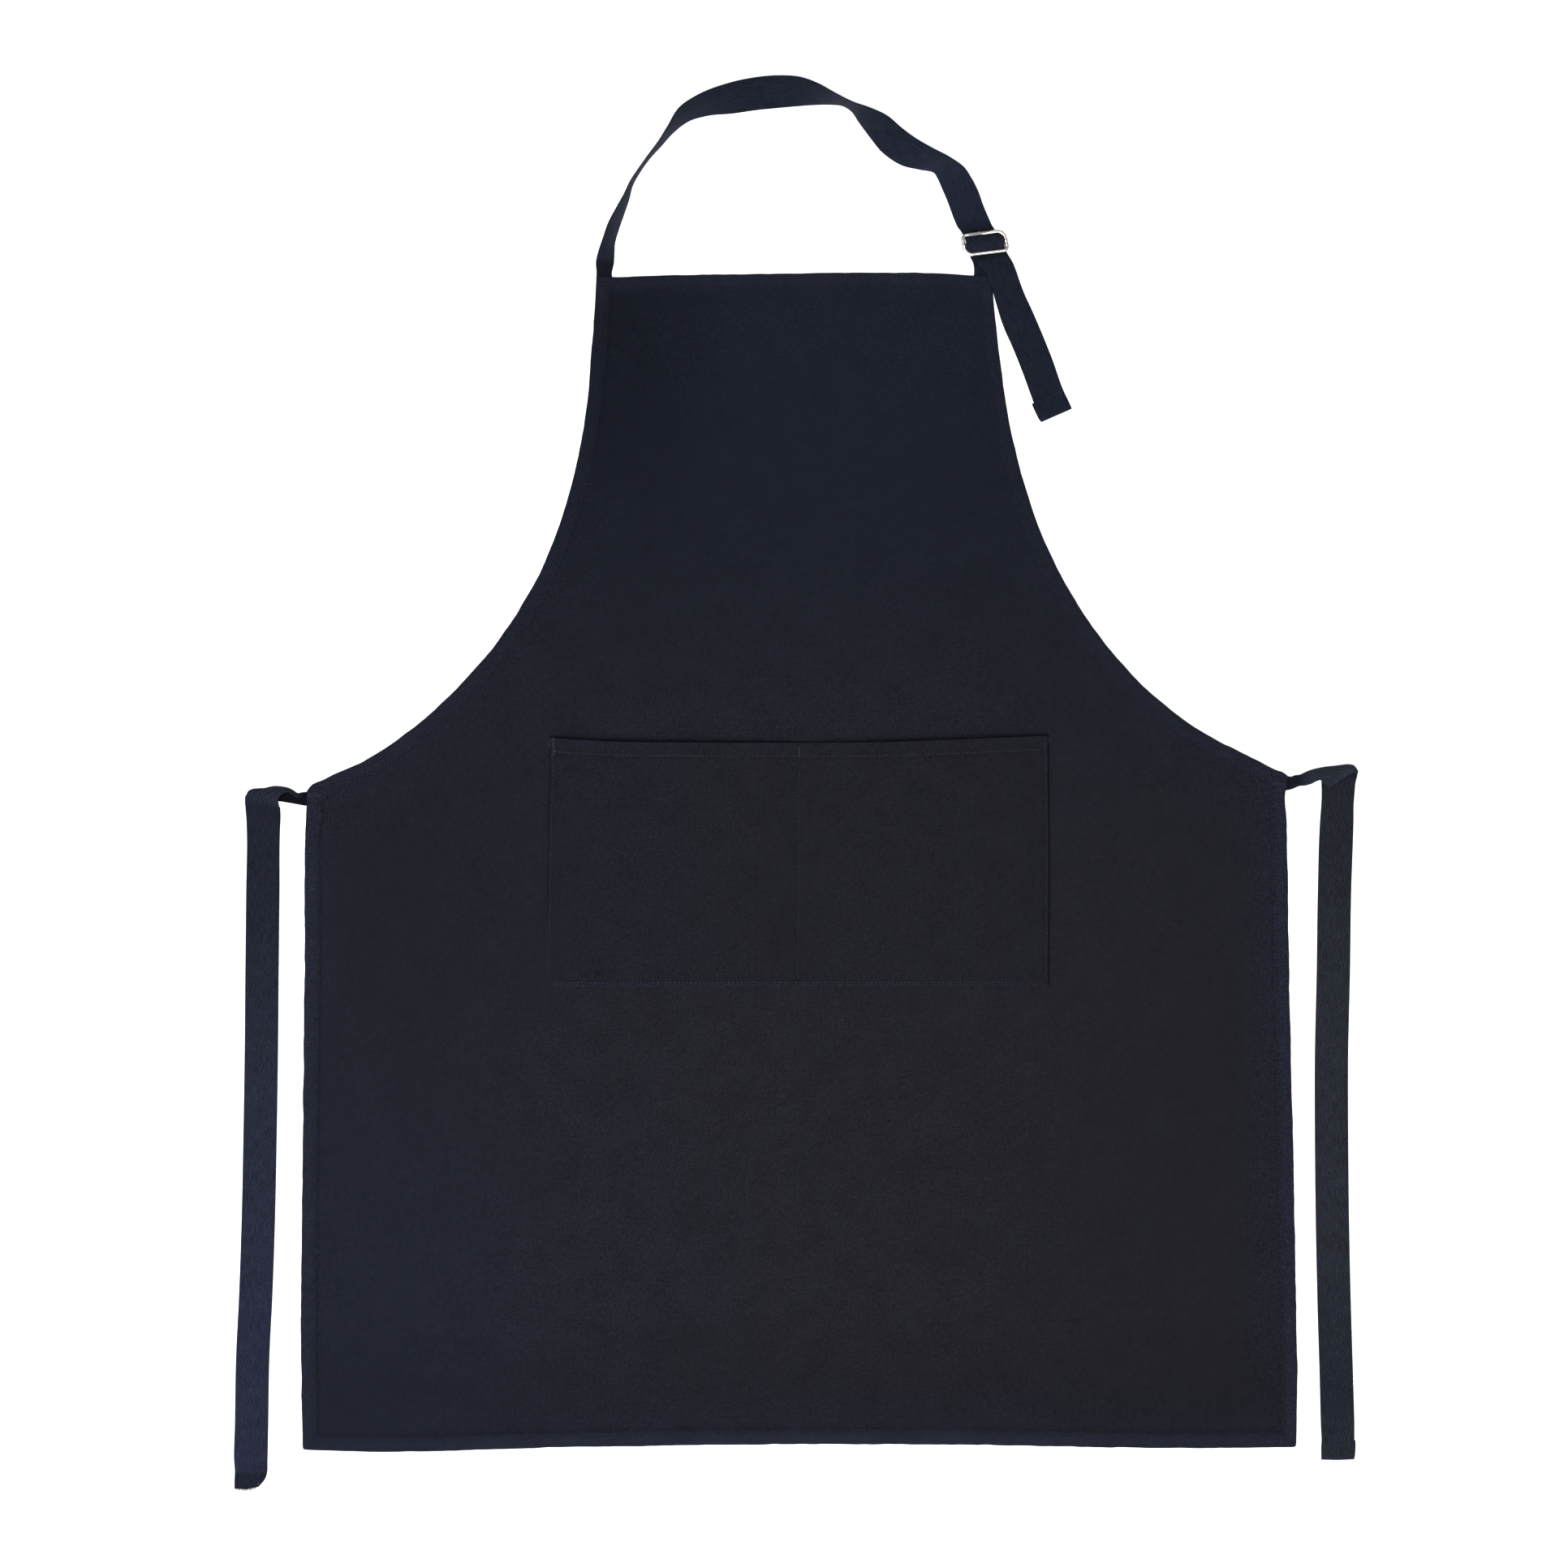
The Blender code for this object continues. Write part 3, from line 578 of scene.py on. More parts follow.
def twill_material():
    """Fine twill: two sets of diagonal ribs that cross, clearest in the middle of the skirt, worn away in the bib."""
    n = new_material("navy_twill", 0.95, 0.06)
    place = n.weave_map()
    x, y = n.split(place)
    wander = n.vector("ADD", n.noise_vector(place, 60, 0.0014), n.noise_vector(place, 380, 0.0009))
    wavy = n.vector("ADD", place, wander)
    main, cross, picks = (n.wave(wavy, turns) for turns in ((771, -541), (771, 541), (20, 647)))
    lattice = n.times_add(picks, 0.12, n.add(n.times(main, 1.1), cross))
    fuzz = n.noise(place, 1300, 1, 0.7)
    yarns = n.stretched_noise(place, (1, 0.14, 1), 1300)
    slubs = n.stretched_noise(place, (0.16, 1, 1), 1100)
    sides = n.math("EXPONENT", n.times(n.times(x, x), -9.0))
    crisp = n.times(n.ramp(y, 0.40, 0.0, 0.06, 1.0), sides)
    crisp = n.times(crisp, n.ramp(n.noise(place, 45, 2), 0.25, 0.7, 0.35, 1.2))
    rough = n.ramp(y, 0.42, 0.0, 0.55, 1.0)
    grain = n.add(n.centred(fuzz, 4.8), n.centred(yarns, 1.2))
    grain = n.times(n.add(grain, n.centred(slubs, 0.8)), rough)
    patches = n.add(n.centred(n.noise(place, 150, 2), 0.2), n.centred(n.noise(place, 440, 1), 1.0))
    mottle = n.times_add(n.noise(place, 34, 4, 0.6), 0.3, 0.85)
    mottle = n.times_add(patches, n.times(rough, rough), mottle)
    value = n.times_add(lattice, n.times(crisp, TWILL_DEPTH), grain)
    value = n.math("MAXIMUM", n.add(value, 1.0), DARKEST)
    value = n.times(n.times(value, mottle), n.times_add(crisp, -0.31, 1.0))
    n.finish_cloth(place, value, 170, 0.2)
    n.bump(n.times_add(fuzz, 0.8, lattice), 0.35, 0.0001)
    return n.material


def tape_material(name, depth):
    """Herringbone tape: one chevron across its width, steep ribs that meet in the middle, and plain selvedges."""
    n = new_material(name, 0.92, 0.07)
    place = n.weave_map()
    u, v = n.split(place)
    out = n.math("ABSOLUTE", u)
    wander = n.centred(n.noise(place, 110, 1), 1.1)
    turns = n.add(n.add(n.times(out, 620.0), n.times(v, 222.0)), wander)
    rib = n.math("SINE", n.times(turns, 2 * math.pi))
    fuzz = n.noise(place, 1400, 1, 0.7)
    yarns = n.stretched_noise(place, (1, 0.1, 1), 1300)
    selvedge = n.ramp(out, 0.0103, 0.0109)
    spine = n.ramp(out, 0.0008, 0.0002)
    plain = n.math("MAXIMUM", selvedge, n.times(spine, 0.5))
    raised = n.times(rib, n.math("SUBTRACT", 1.0, plain))
    grain = n.add(n.centred(fuzz, 1.9), n.centred(yarns, 1.3))
    mottle = n.centred(n.noise(place, 60, 3, 0.6), 0.44)
    broken = n.ramp(n.stretched_noise(place, (1, 0.6, 1), 900), 0.3, 0.62, 0.25, 1.35)
    crisp = n.times(n.ramp(n.noise(place, 70, 2), 0.3, 0.65, 0.5, 1.25), broken)
    value = n.times_add(raised, n.times(crisp, depth), n.add(grain, mottle))
    n.finish_cloth(place, n.math("MAXIMUM", n.add(value, 1.0), DARKEST), 210, 0.25)
    n.bump(n.times_add(fuzz, 0.6, raised), 0.4, 0.00015)
    return n.material


def thread_material():
    """Twisted sewing thread, each stitch in its own tint."""
    n = new_material("navy_thread", 0.7, 0.2)
    coordinates = n.coordinates()
    per_metre, angle = 1 / 0.00038, math.radians(40)
    turn = n.wave(coordinates, (per_metre * math.cos(angle), per_metre * math.sin(angle)))
    strand = n.times_add(turn, 0.5, 0.5)
    fuzz = n.noise(coordinates, 2600, 1)
    value = n.times_add(strand, 0.45, n.times_add(fuzz, 0.4, 0.57))
    n.put(n.shader.inputs["Base Color"], n.vector("SCALE", n.tint(), scale=value))
    n.bump(strand, 0.5, 0.0001)
    return n.material


def metal_material():
    """Polished nickel plate on steel wire, faintly drawn along its length and tarnished in patches."""
    n = new_material("polished_nickel", 0.12, metallic=1.0)
    coordinates = n.coordinates()
    smudge = n.noise(coordinates, 420, 3, 0.6)
    drawn = n.stretched_noise(coordinates, (0.15, 1, 1), 2600, 2)
    colour = n.blend((0.80, 0.76, 0.72, 1), (0.93, 0.92, 0.91, 1), n.ramp(smudge, 0.35, 0.6))
    n.put(n.shader.inputs["Base Color"], colour)
    n.put(n.shader.inputs["Roughness"], n.times_add(smudge, 0.14, 0.06))
    n.bump(n.add(drawn, smudge), 0.12, 0.00006)
    return n.material


# ---------------------------------------------------------------- body panel

def root_bump(x, y):
    """How far a sewn tape end lifts the hem, and the room under it, at each point."""
    lift, room = np.zeros_like(x), np.zeros_like(x)
    for (x0, y0), (x1, y1), roof, lump in ROOTS:
        inside = step(x, x0 - 1.4, x0) * step(-x, -x1 - 1.4, -x1) * step(y, y0 - 1.4, y0) * step(-y, -y1 - 1.4, -y1)
        lift += lump * inside
        room += roof * inside
    return lift, room


def relief(x, y):
    """How far the cloth stands off the table, away from its hems and its pocket."""
    shape = x.shape
    flat = np.stack([x.ravel(), y.ravel()], 1)
    broad = np.array([noise.noise(Vector((a / 120, b / 150, 3.1))) for a, b in flat])
    small = np.array([noise.noise(Vector((a / 42, b / 60, 7.7))) for a, b in flat])
    up = np.clip(0.55 + 1.3 * broad + 0.45 * small, 0, 3).reshape(shape)
    for (ax, ay), (bx, by), depth, width in CREASES:
        t = np.clip(((x - ax) * (bx - ax) + (y - ay) * (by - ay)) / ((bx - ax) ** 2 + (by - ay) ** 2), 0, 1)
        away = np.hypot(x - ax - t * (bx - ax), y - ay - t * (by - ay))
        up = up + depth * (bell(away, 3.5 * width) - bell(away, width))
    pocket = np.maximum(np.abs(x) - 180, np.maximum(y - 90, -y - 90))
    return up * step(pocket, 8, 55)


def corner_turns():
    """Half the turn at the start of each edge, clockwise."""
    ends = [np.array(edge, float) for edge, _, _ in EDGES.values()]
    ahead = [(e[1] - e[0], e[-1] - e[-2]) for e in ends]
    halves = []
    for i, (start, _) in enumerate(ahead):
        before = ahead[i - 1][1]
        turn = math.atan2(before[1], before[0]) - math.atan2(start[1], start[0])
        halves.append(((turn + math.pi) % (2 * math.pi) - math.pi) / 2)
    return halves


class Outline:
    """The panel's edge, which gives closed rings at any distance inside it."""

    def __init__(self, spacing):
        self.edges = []
        halves = corner_turns()
        for i, (edge, _, _) in enumerate(EDGES.values()):
            points = smooth_curve(edge, spacing)
            ahead = np.gradient(points, axis=0)
            ahead /= np.linalg.norm(ahead, axis=1, keepdims=True)
            inward = np.stack([ahead[:, 1], -ahead[:, 0]], 1)
            turns = math.tan(halves[i]), math.tan(halves[(i + 1) % len(halves)])
            self.edges.append((points, ahead, inward, turns))

    def edge(self, index, inset):
        points, ahead, inward, (first, last) = self.edges[index]
        along = lengths(points)
        t = along / along[-1]
        wobble = 0.22 * waves(along + 900 * index, 17, 5.5) + 0.14 * waves(along + 900 * index, 6, 2.5)
        wobble *= np.clip(np.minimum(t, 1 - t) * 12, 0, 1) * max(0, 1 - inset / 15)
        for centre, reach, swell in SWELLS:
            away = np.hypot(*(points - centre).T)
            wobble -= swell * bell(away, reach) * max(0, 1 - inset / 11)
        shift = inset * (first * (1 - t) - last * t)
        return points + inward * (inset + wobble)[:, None] + ahead * shift[:, None]

    def ring(self, inset):
        ring = np.concatenate([self.edge(i, inset)[:-1] for i in range(len(self.edges))])
        if inset < 4:  # the cloth rounds the corners
            soft = 0.5 * ring + 0.25 * (np.roll(ring, 1, 0) + np.roll(ring, -1, 0))
            corners = np.cumsum([0] + [len(e[0]) - 1 for e in self.edges])[:-1]
            ring[corners] = soft[corners] * 0.6 + ring[corners] * 0.4
        return ring

    def ring_length(self, inset):
        ring = self.ring(inset)
        return lengths(np.vstack([ring, ring[:1]]))[:-1]


def hem_height(ring, around, inset, height, over):
    """Adds the lift of the sewn tape ends and the pucker of the seam to a hem's height."""
    x, y = ring[:, 0], ring[:, 1]
    lift, room = root_bump(x, y)
    if not over:
        return np.maximum(height, room * (1 if inset > 0.3 else 0.9))
    pucker = bell(inset - STITCH_INSET, 3.6) * (0.10 * waves(around, 2.6, 1.5) + 0.13 * waves(around, 9, 8.5))
    roll = 0.12 * waves(around, 24, 4.5) * min(1, inset / 3)
    rest = relief(x, y) * float(step(inset, 12, 40))
    return height + lift + pucker + roll + rest


def cloth_tint(x, y, inset):
    """The panel's colour: darker in the bib, greyer in the skirt, bluest low left and towards the worn hems."""
    down = 1 - step(y, -60, 330)
    colour = mix(BIB, SKIRT, down)
    low_left = bell(x + 330, 190) * (1 - step(y, -330, 60))
    colour = mix(colour, WORN_BLUE, 0.9 * low_left)
    colour = mix(colour, WORN_BLUE, 0.75 * bell(inset, 26) * (1 - step(y, 0, 300)) * np.ones_like(x))
    bib_light = bell(x - 40, 70) * bell(y - 300, 130)
    colour = colour * (1 + 0.06 * bib_light)[..., None]
    dim = bell(x + 125, 50) * bell(y - 375, 110)
    cool = bell(x + 270, 90) * bell(y + 20, 90)
    colour = colour * (1 - cool[..., None] * np.array((0.08, 0.06, 0)))
    foot = 0.13 * (1 - step(y, -385, -310))
    return colour * (1 - 0.30 * dim - foot)[..., None]


def make_body_panel(cloth):
    outline = Outline(3.0)
    around = outline.ring_length(0)
    rim = outline.ring(HEM_RIM[0])
    lift, room = root_bump(rim[:, 0], rim[:, 1])
    count = len(rim)
    points = [np.column_stack([rim, HEM_RIM[1] + 0.5 * (lift + room)])]
    tints = [mix(cloth_tint(rim[:, 0], rim[:, 1], 0), HEM_BLUE, np.full(count, 0.55))]
    for profile, over in ((HEM_TOP, True), (HEM_UNDER, False)):
        for inset, height in profile:
            ring = outline.ring(inset)
            z = hem_height(ring, around, inset, height, over)
            points.append(np.column_stack([ring, z]))
            worn = 0.60 * (1 - float(step(inset, 6, 10.5))) + 0.25 * bell(inset - 10.3, 0.6)
            worn = worn * (1 - 0.7 * step(ring[:, 1], 0, 120) + 0.4 * step(ring[:, 1], 395, 405))
            tint = mix(cloth_tint(ring[:, 0], ring[:, 1], inset), HEM_BLUE, worn)
            # painted shade in the stitch groove and along the hem's inner edge, less of it in the bib
            dark = 0.22 * bell(inset - STITCH_INSET, 0.35) + 0.18 * bell(inset - 11.6, 0.8)
            dark = dark * (1 - 0.55 * step(ring[:, 1:2], 0, 120))
            tints.append(tint * (1 - dark))
    top_rings = np.arange(1 + len(HEM_TOP))
    under_rings = np.append(0, np.arange(len(HEM_UNDER)) + 1 + len(HEM_TOP))
    faces = []
    for rings, flip in ((top_rings, False), (under_rings, True)):
        faces += grid_faces(rings[:, None] * count + np.arange(count), closed=True, flip=flip)
    inner = points[top_rings[-1]][:, :2]
    field, clear = field_points(inner, 5.0)
    triangles = np.array(field_triangles(inner, field))
    rest = relief(field[:, 0], field[:, 1])
    base = sum(len(p) for p in points)
    for extra in (CLOTH, 0.0):
        points.append(np.column_stack([field, rest + extra]))
        tints.append(cloth_tint(field[:, 0], field[:, 1], HEM_TOP[-1][0] + clear))
    for layer, (ring, flip) in enumerate(((top_rings[-1], True), (under_rings[-1], False))):
        start = base + layer * len(field)
        corners = np.where(triangles < count, triangles + ring * count, triangles - count + start)
        faces += (corners[:, ::-1] if flip else corners).tolist()
    points = np.concatenate(points)
    tints = np.concatenate(tints) * ALBEDO
    panel = new_piece("body_panel_cloth", points, faces, points[:, :2], tints, cloth,
                      body="apron", slot="twill_cloth", replaces=["body_panel"])
    return outline


def field_points(boundary, spacing):
    """Points of a triangular grid inside a closed boundary, a little clear of it, and how far each is from it."""
    low, high = boundary.min(0), boundary.max(0)
    rows = int((high[1] - low[1]) / (spacing * 0.866))
    grid = []
    for r in range(1, rows):
        y = low[1] + r * spacing * 0.866
        x = np.arange(low[0] + (r % 2) * spacing / 2, high[0], spacing)
        grid.append(np.column_stack([x, np.full(len(x), y)]))
    grid = np.concatenate(grid)
    after = np.roll(boundary, -1, 0)
    inside = np.zeros(len(grid), bool)
    near = np.full(len(grid), np.inf)
    for a, b in zip(boundary, after):
        spans = (a[1] > grid[:, 1]) != (b[1] > grid[:, 1])
        if a[1] != b[1]:
            cross = a[0] + (grid[:, 1] - a[1]) / (b[1] - a[1]) * (b[0] - a[0])
            inside ^= spans & (grid[:, 0] < cross)
        near = np.minimum(near, (grid[:, 0] - a[0]) ** 2 + (grid[:, 1] - a[1]) ** 2)
    keep = inside & (near > (0.62 * spacing) ** 2)
    return grid[keep], np.sqrt(near[keep])


def field_triangles(boundary, field):
    """Delaunay triangles between the boundary's points and the field's, by their place in the two lists."""
    places = [Vector(p) for p in np.vstack([boundary, field])]
    loop = list(range(len(boundary)))
    _, _, faces, origins, _, _ = delaunay_2d_cdt(places, [], [loop], 1, 1e-4)
    return [tuple(origins[i][0] for i in face) for face in faces]


def make_hem_seams(outline, thread):
    """The hems' stitches, over and under, following the groove that they pull."""
    around = outline.ring_length(0)
    start = 0
    for index, (name, (_, trim_start, trim_end)) in enumerate(EDGES.items()):
        line = outline.edge(index, STITCH_INSET)
        count = len(line)
        places = np.append(around, around[-1] + 3)[start:start + count]
        start += count - 1
        top = hem_height(line, places, STITCH_INSET, 1.5, True)
        room = root_bump(line[:, 0], line[:, 1])[1]
        ends = outline.edges[index][0][[0, -1]]
        keep = (np.hypot(*(line - ends[0]).T) > trim_start) & (np.hypot(*(line - ends[1]).T) > trim_end)
        over = np.column_stack([line, top + 0.12])[keep]
        under = np.column_stack([line, np.maximum(0.2, room - 0.1)])[keep & (room < 0.05)]
        seam(name + "_thread", over, thread, index + 1, under=under, dye=HEM_THREAD, body="apron", replaces=[name])


# ---------------------------------------------------------------- pocket

def pocket_place(a, b):
    """Where a point of the pocket lies, from its distances to the left and bottom edges."""
    across, up = a / POCKET_WIDE, b / POCKET_DEEP
    low = mix(POCKET_LOW_LEFT, POCKET_LOW_RIGHT, across)
    high = mix(POCKET_TOP_LEFT, POCKET_TOP_RIGHT, across)
    place = mix(low, high, up)
    place[..., 0] -= 0.8 * np.sin(math.pi * up) * (1 - 2 * across)
    slack = 1.5 * bell(a - 42, 48) - 0.5 * bell(a - 165, 30)
    place[..., 1] -= (MOUTH_SAG * np.sin(math.pi * across) + slack) * up
    return place


def pocket_heights(a, b):
    """The underside and top of the pocket's cloth."""
    across, up = a / POCKET_WIDE, b / POCKET_DEEP
    within = np.abs(2 * (2 * across % 1) - 1)
    rise = 1 - (1 - np.minimum(up / POCKET_RISE, 1)) ** 3
    lift = POCKET_LIFT * (1 - within**4) * rise
    side = np.minimum(np.minimum(a, POCKET_WIDE - a), b)
    mouth = POCKET_DEEP - b
    edge = np.minimum(side, mouth)
    folded = CLOTH * (1 - step(side, EDGE_FOLD - 0.8, EDGE_FOLD + 0.8))
    hemmed = 2 * CLOTH * (1 - step(mouth, MOUTH_HEM - 0.8, MOUTH_HEM + 0.8))
    thick = CLOTH + np.maximum(folded, hemmed)
    divider = np.abs(a - POCKET_WIDE / 2)
    pressed = 0.32 * bell(side - EDGE_STITCH, 0.5) + 0.30 * bell(mouth - MOUTH_STITCH, 0.5)
    pressed += 0.30 * bell(divider, 0.6) * (mouth > 3)
    pucker = 0.10 * bell(side - EDGE_STITCH, 2.5) * np.sin(a * 1.1 + np.sin(b * 0.7)) * np.sin(b * 1.3)
    bed = CLOTH + 0.08 + lift
    round_edge = np.sqrt(1 - (1 - np.minimum(edge / 0.6, 1)) ** 2)
    middle = bed + thick / 2
    return middle - thick / 2 * round_edge, middle + (thick / 2 - pressed + pucker) * round_edge


def pocket_top(a, b):
    return np.column_stack([pocket_place(a, b), pocket_heights(a, b)[1]])


def above_pocket(a, b, height):
    """One spot at a height above the pocket's cloth."""
    x, y, z = pocket_top(np.array([a]), np.array([b]))[0]
    return x, y, z + height


def stations(size, first, last, middle, spacing):
    """Distances along one side of the pocket: fine at both ends and round its middle, coarse between."""
    fine = [*first, *(size - d for d in reversed(last)), *(size / 2 + d for d in middle)]
    spans = np.sort(np.array(fine))
    filled = [spans[0]]
    for a, b in zip(spans, spans[1:]):
        count = max(1, round((b - a) / spacing))
        filled += [a + (b - a) * (i + 1) / count for i in range(count)]
    return np.array(filled)


def make_pocket(cloth):
    at_side = [0, 0.12, 0.35, 0.7, 1.3, 1.9, 2.5, 3.1, 4.2, 6, 8.2, 9, 9.8, 11.5]
    at_mouth = [0, 0.12, 0.35, 0.7, 1.1, 1.7, 3.5, 6.5, 8.5, 9.8, 10.2, 10.7, 11.2, 11.8, 12.5, 14.5]
    a = stations(POCKET_WIDE, at_side, at_side, [-5, -2, -1.1, -0.5, 0, 0.5, 1.1, 2, 5], 4)
    b = stations(POCKET_DEEP, at_side, at_mouth, [], 3.4)
    aa, bb = np.meshgrid(a, b)
    place = pocket_place(aa, bb)
    low, top = pocket_heights(aa, bb)
    edge = np.ones(aa.shape, bool)
    edge[1:-1, 1:-1] = False
    top_index = block(0, *aa.shape)
    low_index = top_index.copy()
    low_index[~edge] = aa.size + np.arange((~edge).sum())
    points = np.concatenate([
        np.column_stack([place.reshape(-1, 2), top.ravel()]),
        np.column_stack([place[~edge], low[~edge]]),
    ])
    faces = grid_faces(top_index) + grid_faces(low_index, flip=True)
    sides = np.minimum(np.minimum(aa, POCKET_WIDE - aa), bb)
    mouth = POCKET_DEEP - bb
    worn = 0.5 * bell(sides, 1.6) + 0.28 * bell(mouth, 2.2)
    tint = mix(POCKET_TINT, HEM_BLUE, np.clip(worn, 0, 1))
    # painted shade along the edge stitching, down the divider and along the mouth hem's inner edge
    dark = 0.35 * bell(sides - EDGE_STITCH, 0.6) + 0.25 * bell(aa - POCKET_WIDE / 2, 0.8)
    dark += 0.16 * bell(mouth - MOUTH_HEM - 0.6, 0.9)
    # painted shadow: a dark line where the mouth stands open, full strength over the left compartment and by the right
    # corner, and dark lines down the pocket's left and right edges
    mouth_shadow = 0.85 + 0.15 * np.maximum(1 - step(aa, 175, 186), step(aa, 318, 340))
    shade = 1 - 0.93 * mouth_shadow * (1 - step(mouth, 0.6, 1.3))
    shade *= 1 - 0.7 * (1 - step(aa, 0.5, 1.2)) * step(bb, 20, 80)
    shade *= 1 - 0.85 * (1 - step(POCKET_WIDE - aa, 0.6, 1.3))
    x, y = place[..., 0], place[..., 1]
    # painted shade along a crease across the left compartment
    crease_shade = bell(y - 39.5, 1.2) * step(x, -152, -140) * step(-x, 48, 75)
    tint = tint * (shade * (1 - dark - 0.10 * crease_shade))[..., None]
    tint = mix(tint, tint * np.array((0.98, 1.02, 1.1)), bell(x + 150, 70))
    tints = np.concatenate([tint.reshape(-1, 3), tint[~edge]]) * ALBEDO
    uvs = points[:, :2] + np.array((3.1, 1.7))
    pocket = new_piece("pocket_cloth", points, faces, uvs, tints, cloth,
                       body="apron", slot="twill_cloth", replaces=["pocket_panel"])


def make_pocket_seams(thread):
    near = EDGE_STITCH
    down = np.arange(POCKET_DEEP - 4, near, -1.0)
    over = np.arange(near, POCKET_WIDE - near, 1.0)
    up = np.arange(near + 2, POCKET_DEEP - MOUTH_STITCH + 8, 1.0)
    along = np.arange(5.0, POCKET_WIDE - 5, 1.0)
    edge_a = [np.full(len(down), near), over, np.full(len(down), POCKET_WIDE - near)]
    edge_b = [down, np.full(len(over), near), down[::-1]]
    for part, a, b, seed, dye in (
        ("edge", np.concatenate(edge_a), np.concatenate(edge_b), 21, THREAD),
        ("divider", np.full(len(up), POCKET_WIDE / 2), up, 22, THREAD),
        ("mouth", along, np.full(len(along), POCKET_DEEP - MOUTH_STITCH), 23, MOUTH_THREAD),
    ):
        seam(f"pocket_{part}_thread", pocket_top(a, b) + (0, 0, 0.1), thread, seed, dye=dye, end_shade=STITCH_END_PAINTED_SHADE,
             body="apron", replaces=[f"pocket_{part}_stitching"])


# ---------------------------------------------------------------- bartacks and loose threads

def bartack(node, centre, size, thread, seed, dye, upright=False):
    """A dense zigzag bar of stitches, size being its length and width."""
    draw = random.Random(seed)
    long, wide = size
    count = max(6, round(long / 0.62))
    places = []
    for i, tint in enumerate(thread_tints(count, seed, dye)):
        s = (i + 0.5) / count - 0.5
        jitter = draw.uniform(-0.12, 0.12)
        lean = draw.uniform(-12, 12) + (14 if i % 2 else -14)
        x, y = (jitter, s * long) if upright else (s * long, jitter)
        heading = (0 if upright else 90) + lean
        spot = (centre[0] + x, centre[1] + y, centre[2] + draw.uniform(-0.03, 0.08))
        places.append((spot, heading, wide * draw.uniform(0.9, 1.15), 1, tint))
    stitches(f"{node}_thread", places, thread, 0.27, body="apron", replaces=[node])


def make_bartacks(thread):
    for node, centre, size, seed, dye in (
        ("neck_strap_bartack", (-139.5, 413.6, 2.3), (10, 1.9), 31, HEM_THREAD),
        ("anchor_bartack", (130.4, 413.4, 2.85), (10, 1.9), 32, HEM_THREAD),
        ("left_tie_bartack", (-346.4, 47.6, 2.3), (10.2, 2.8), 33, TACK_THREAD),
        ("right_tie_bartack", (342.4, 56.4, 2.3), (8.6, 2.6), 34, TACK_THREAD),
    ):
        bartack(node, centre, size, thread, seed, dye)
    spot = above_pocket(POCKET_WIDE / 2, POCKET_DEEP - 7.5, 0.12)
    bartack("pocket_divider_bartack", spot, (7, 1.8), thread, 35, TACK_THREAD, upright=True)


def strand(name, paths, radius, tints, material, body):
    """Thin loose ends of thread, each a round tube along a path."""
    sides = 5
    points, colours, faces = [], [], []
    for path, tint in zip(paths, tints):
        path = smooth_curve(path, 0.5)
        faces += tube_faces(len(points), len(path), sides)
        points.extend(tube_points(path, radius * np.linspace(1, 0.6, len(path)), sides))
        colours += [tint] * (len(path) * sides)
    new_piece(name, points, faces, None, colours, material, body=body, slot="thread")


def make_loose_threads(thread):
    """Thread ends at the pocket's corners, and the back-and-forth stitches that lock its seams there."""
    draw = random.Random(41)
    for side, a, seed, dye, count, pitch in (
        ("left", 2.2, 42, LOCK_THREAD, 15, 0.85), ("right", POCKET_WIDE - 2.4, 43, MOUTH_THREAD, 9, 1.2),
    ):
        places = []
        for i, tint in enumerate(thread_tints(count, seed, dye)):
            spot = above_pocket(a + draw.uniform(-0.9, 0.9), POCKET_DEEP - 1.2 - i * pitch, 0.16)
            heading = 90 + draw.uniform(-35, 35)
            places.append((spot, heading, draw.uniform(1.4, 2.4), 1, tint))
        stitches(f"pocket_{side}_lock_thread", places, thread, 0.26, body="apron")
    ends = [
        [(-176.4, 88.4, 2.3), (-177.6, 86.6, 3.0), (-178.9, 84.2, 2.1), (-178.2, 82.1, 1.7)],
        [(-176.0, 80.3, 2.3), (-174.4, 79.4, 2.9), (-173.6, 77.9, 2.6)],
        [(176.5, 88.0, 2.3), (178.4, 87.4, 2.8), (179.6, 86.0, 1.2)],
    ]
    strand("pocket_thread_ends", ends, 0.13, [LOOSE_THREAD] * 3, thread, "apron")


# ---------------------------------------------------------------- tapes

def station(x, y, across, roll, width=TAPE_WIDE, z=None, bow=0.0):
    """Three points across a tape. Without a height its lower edge lies on the table."""
    turn, tilt = math.radians(across), math.radians(roll)
    if z is None:
        z = width / 2 * math.sin(abs(tilt)) + TAPE_THICK / 2 * math.cos(tilt)
    half = width / 2 * np.array((math.cos(turn) * math.cos(tilt), math.sin(turn) * math.cos(tilt), math.sin(tilt)))
    up = np.array((-math.cos(turn) * math.sin(tilt), -math.sin(turn) * math.sin(tilt), math.cos(tilt)))
    centre = np.array((x, y, z))
    return [centre + half, centre + up * bow, centre - half]


def in_slider(u, v, z):
    cos, sin = math.cos(SLIDER_TURN), math.sin(SLIDER_TURN)
    return (SLIDER_AT[0] + u * cos - v * sin, SLIDER_AT[1] + u * sin + v * cos, z)


def arc(centre, radius, start, end, steps):
    angles = [math.radians(start + (end - start) * i / steps) for i in range(steps + 1)]
    return [(centre[0] + radius * math.cos(a), centre[1] + radius * math.sin(a)) for a in angles]


OVER = WIRE_RADIUS + 2 * GAP + 1.5 * TAPE_THICK
UNDER = WIRE_RADIUS + GAP + TAPE_THICK / 2
THREADING = math.degrees(math.asin((OVER + UNDER) / BAR_SPACING))

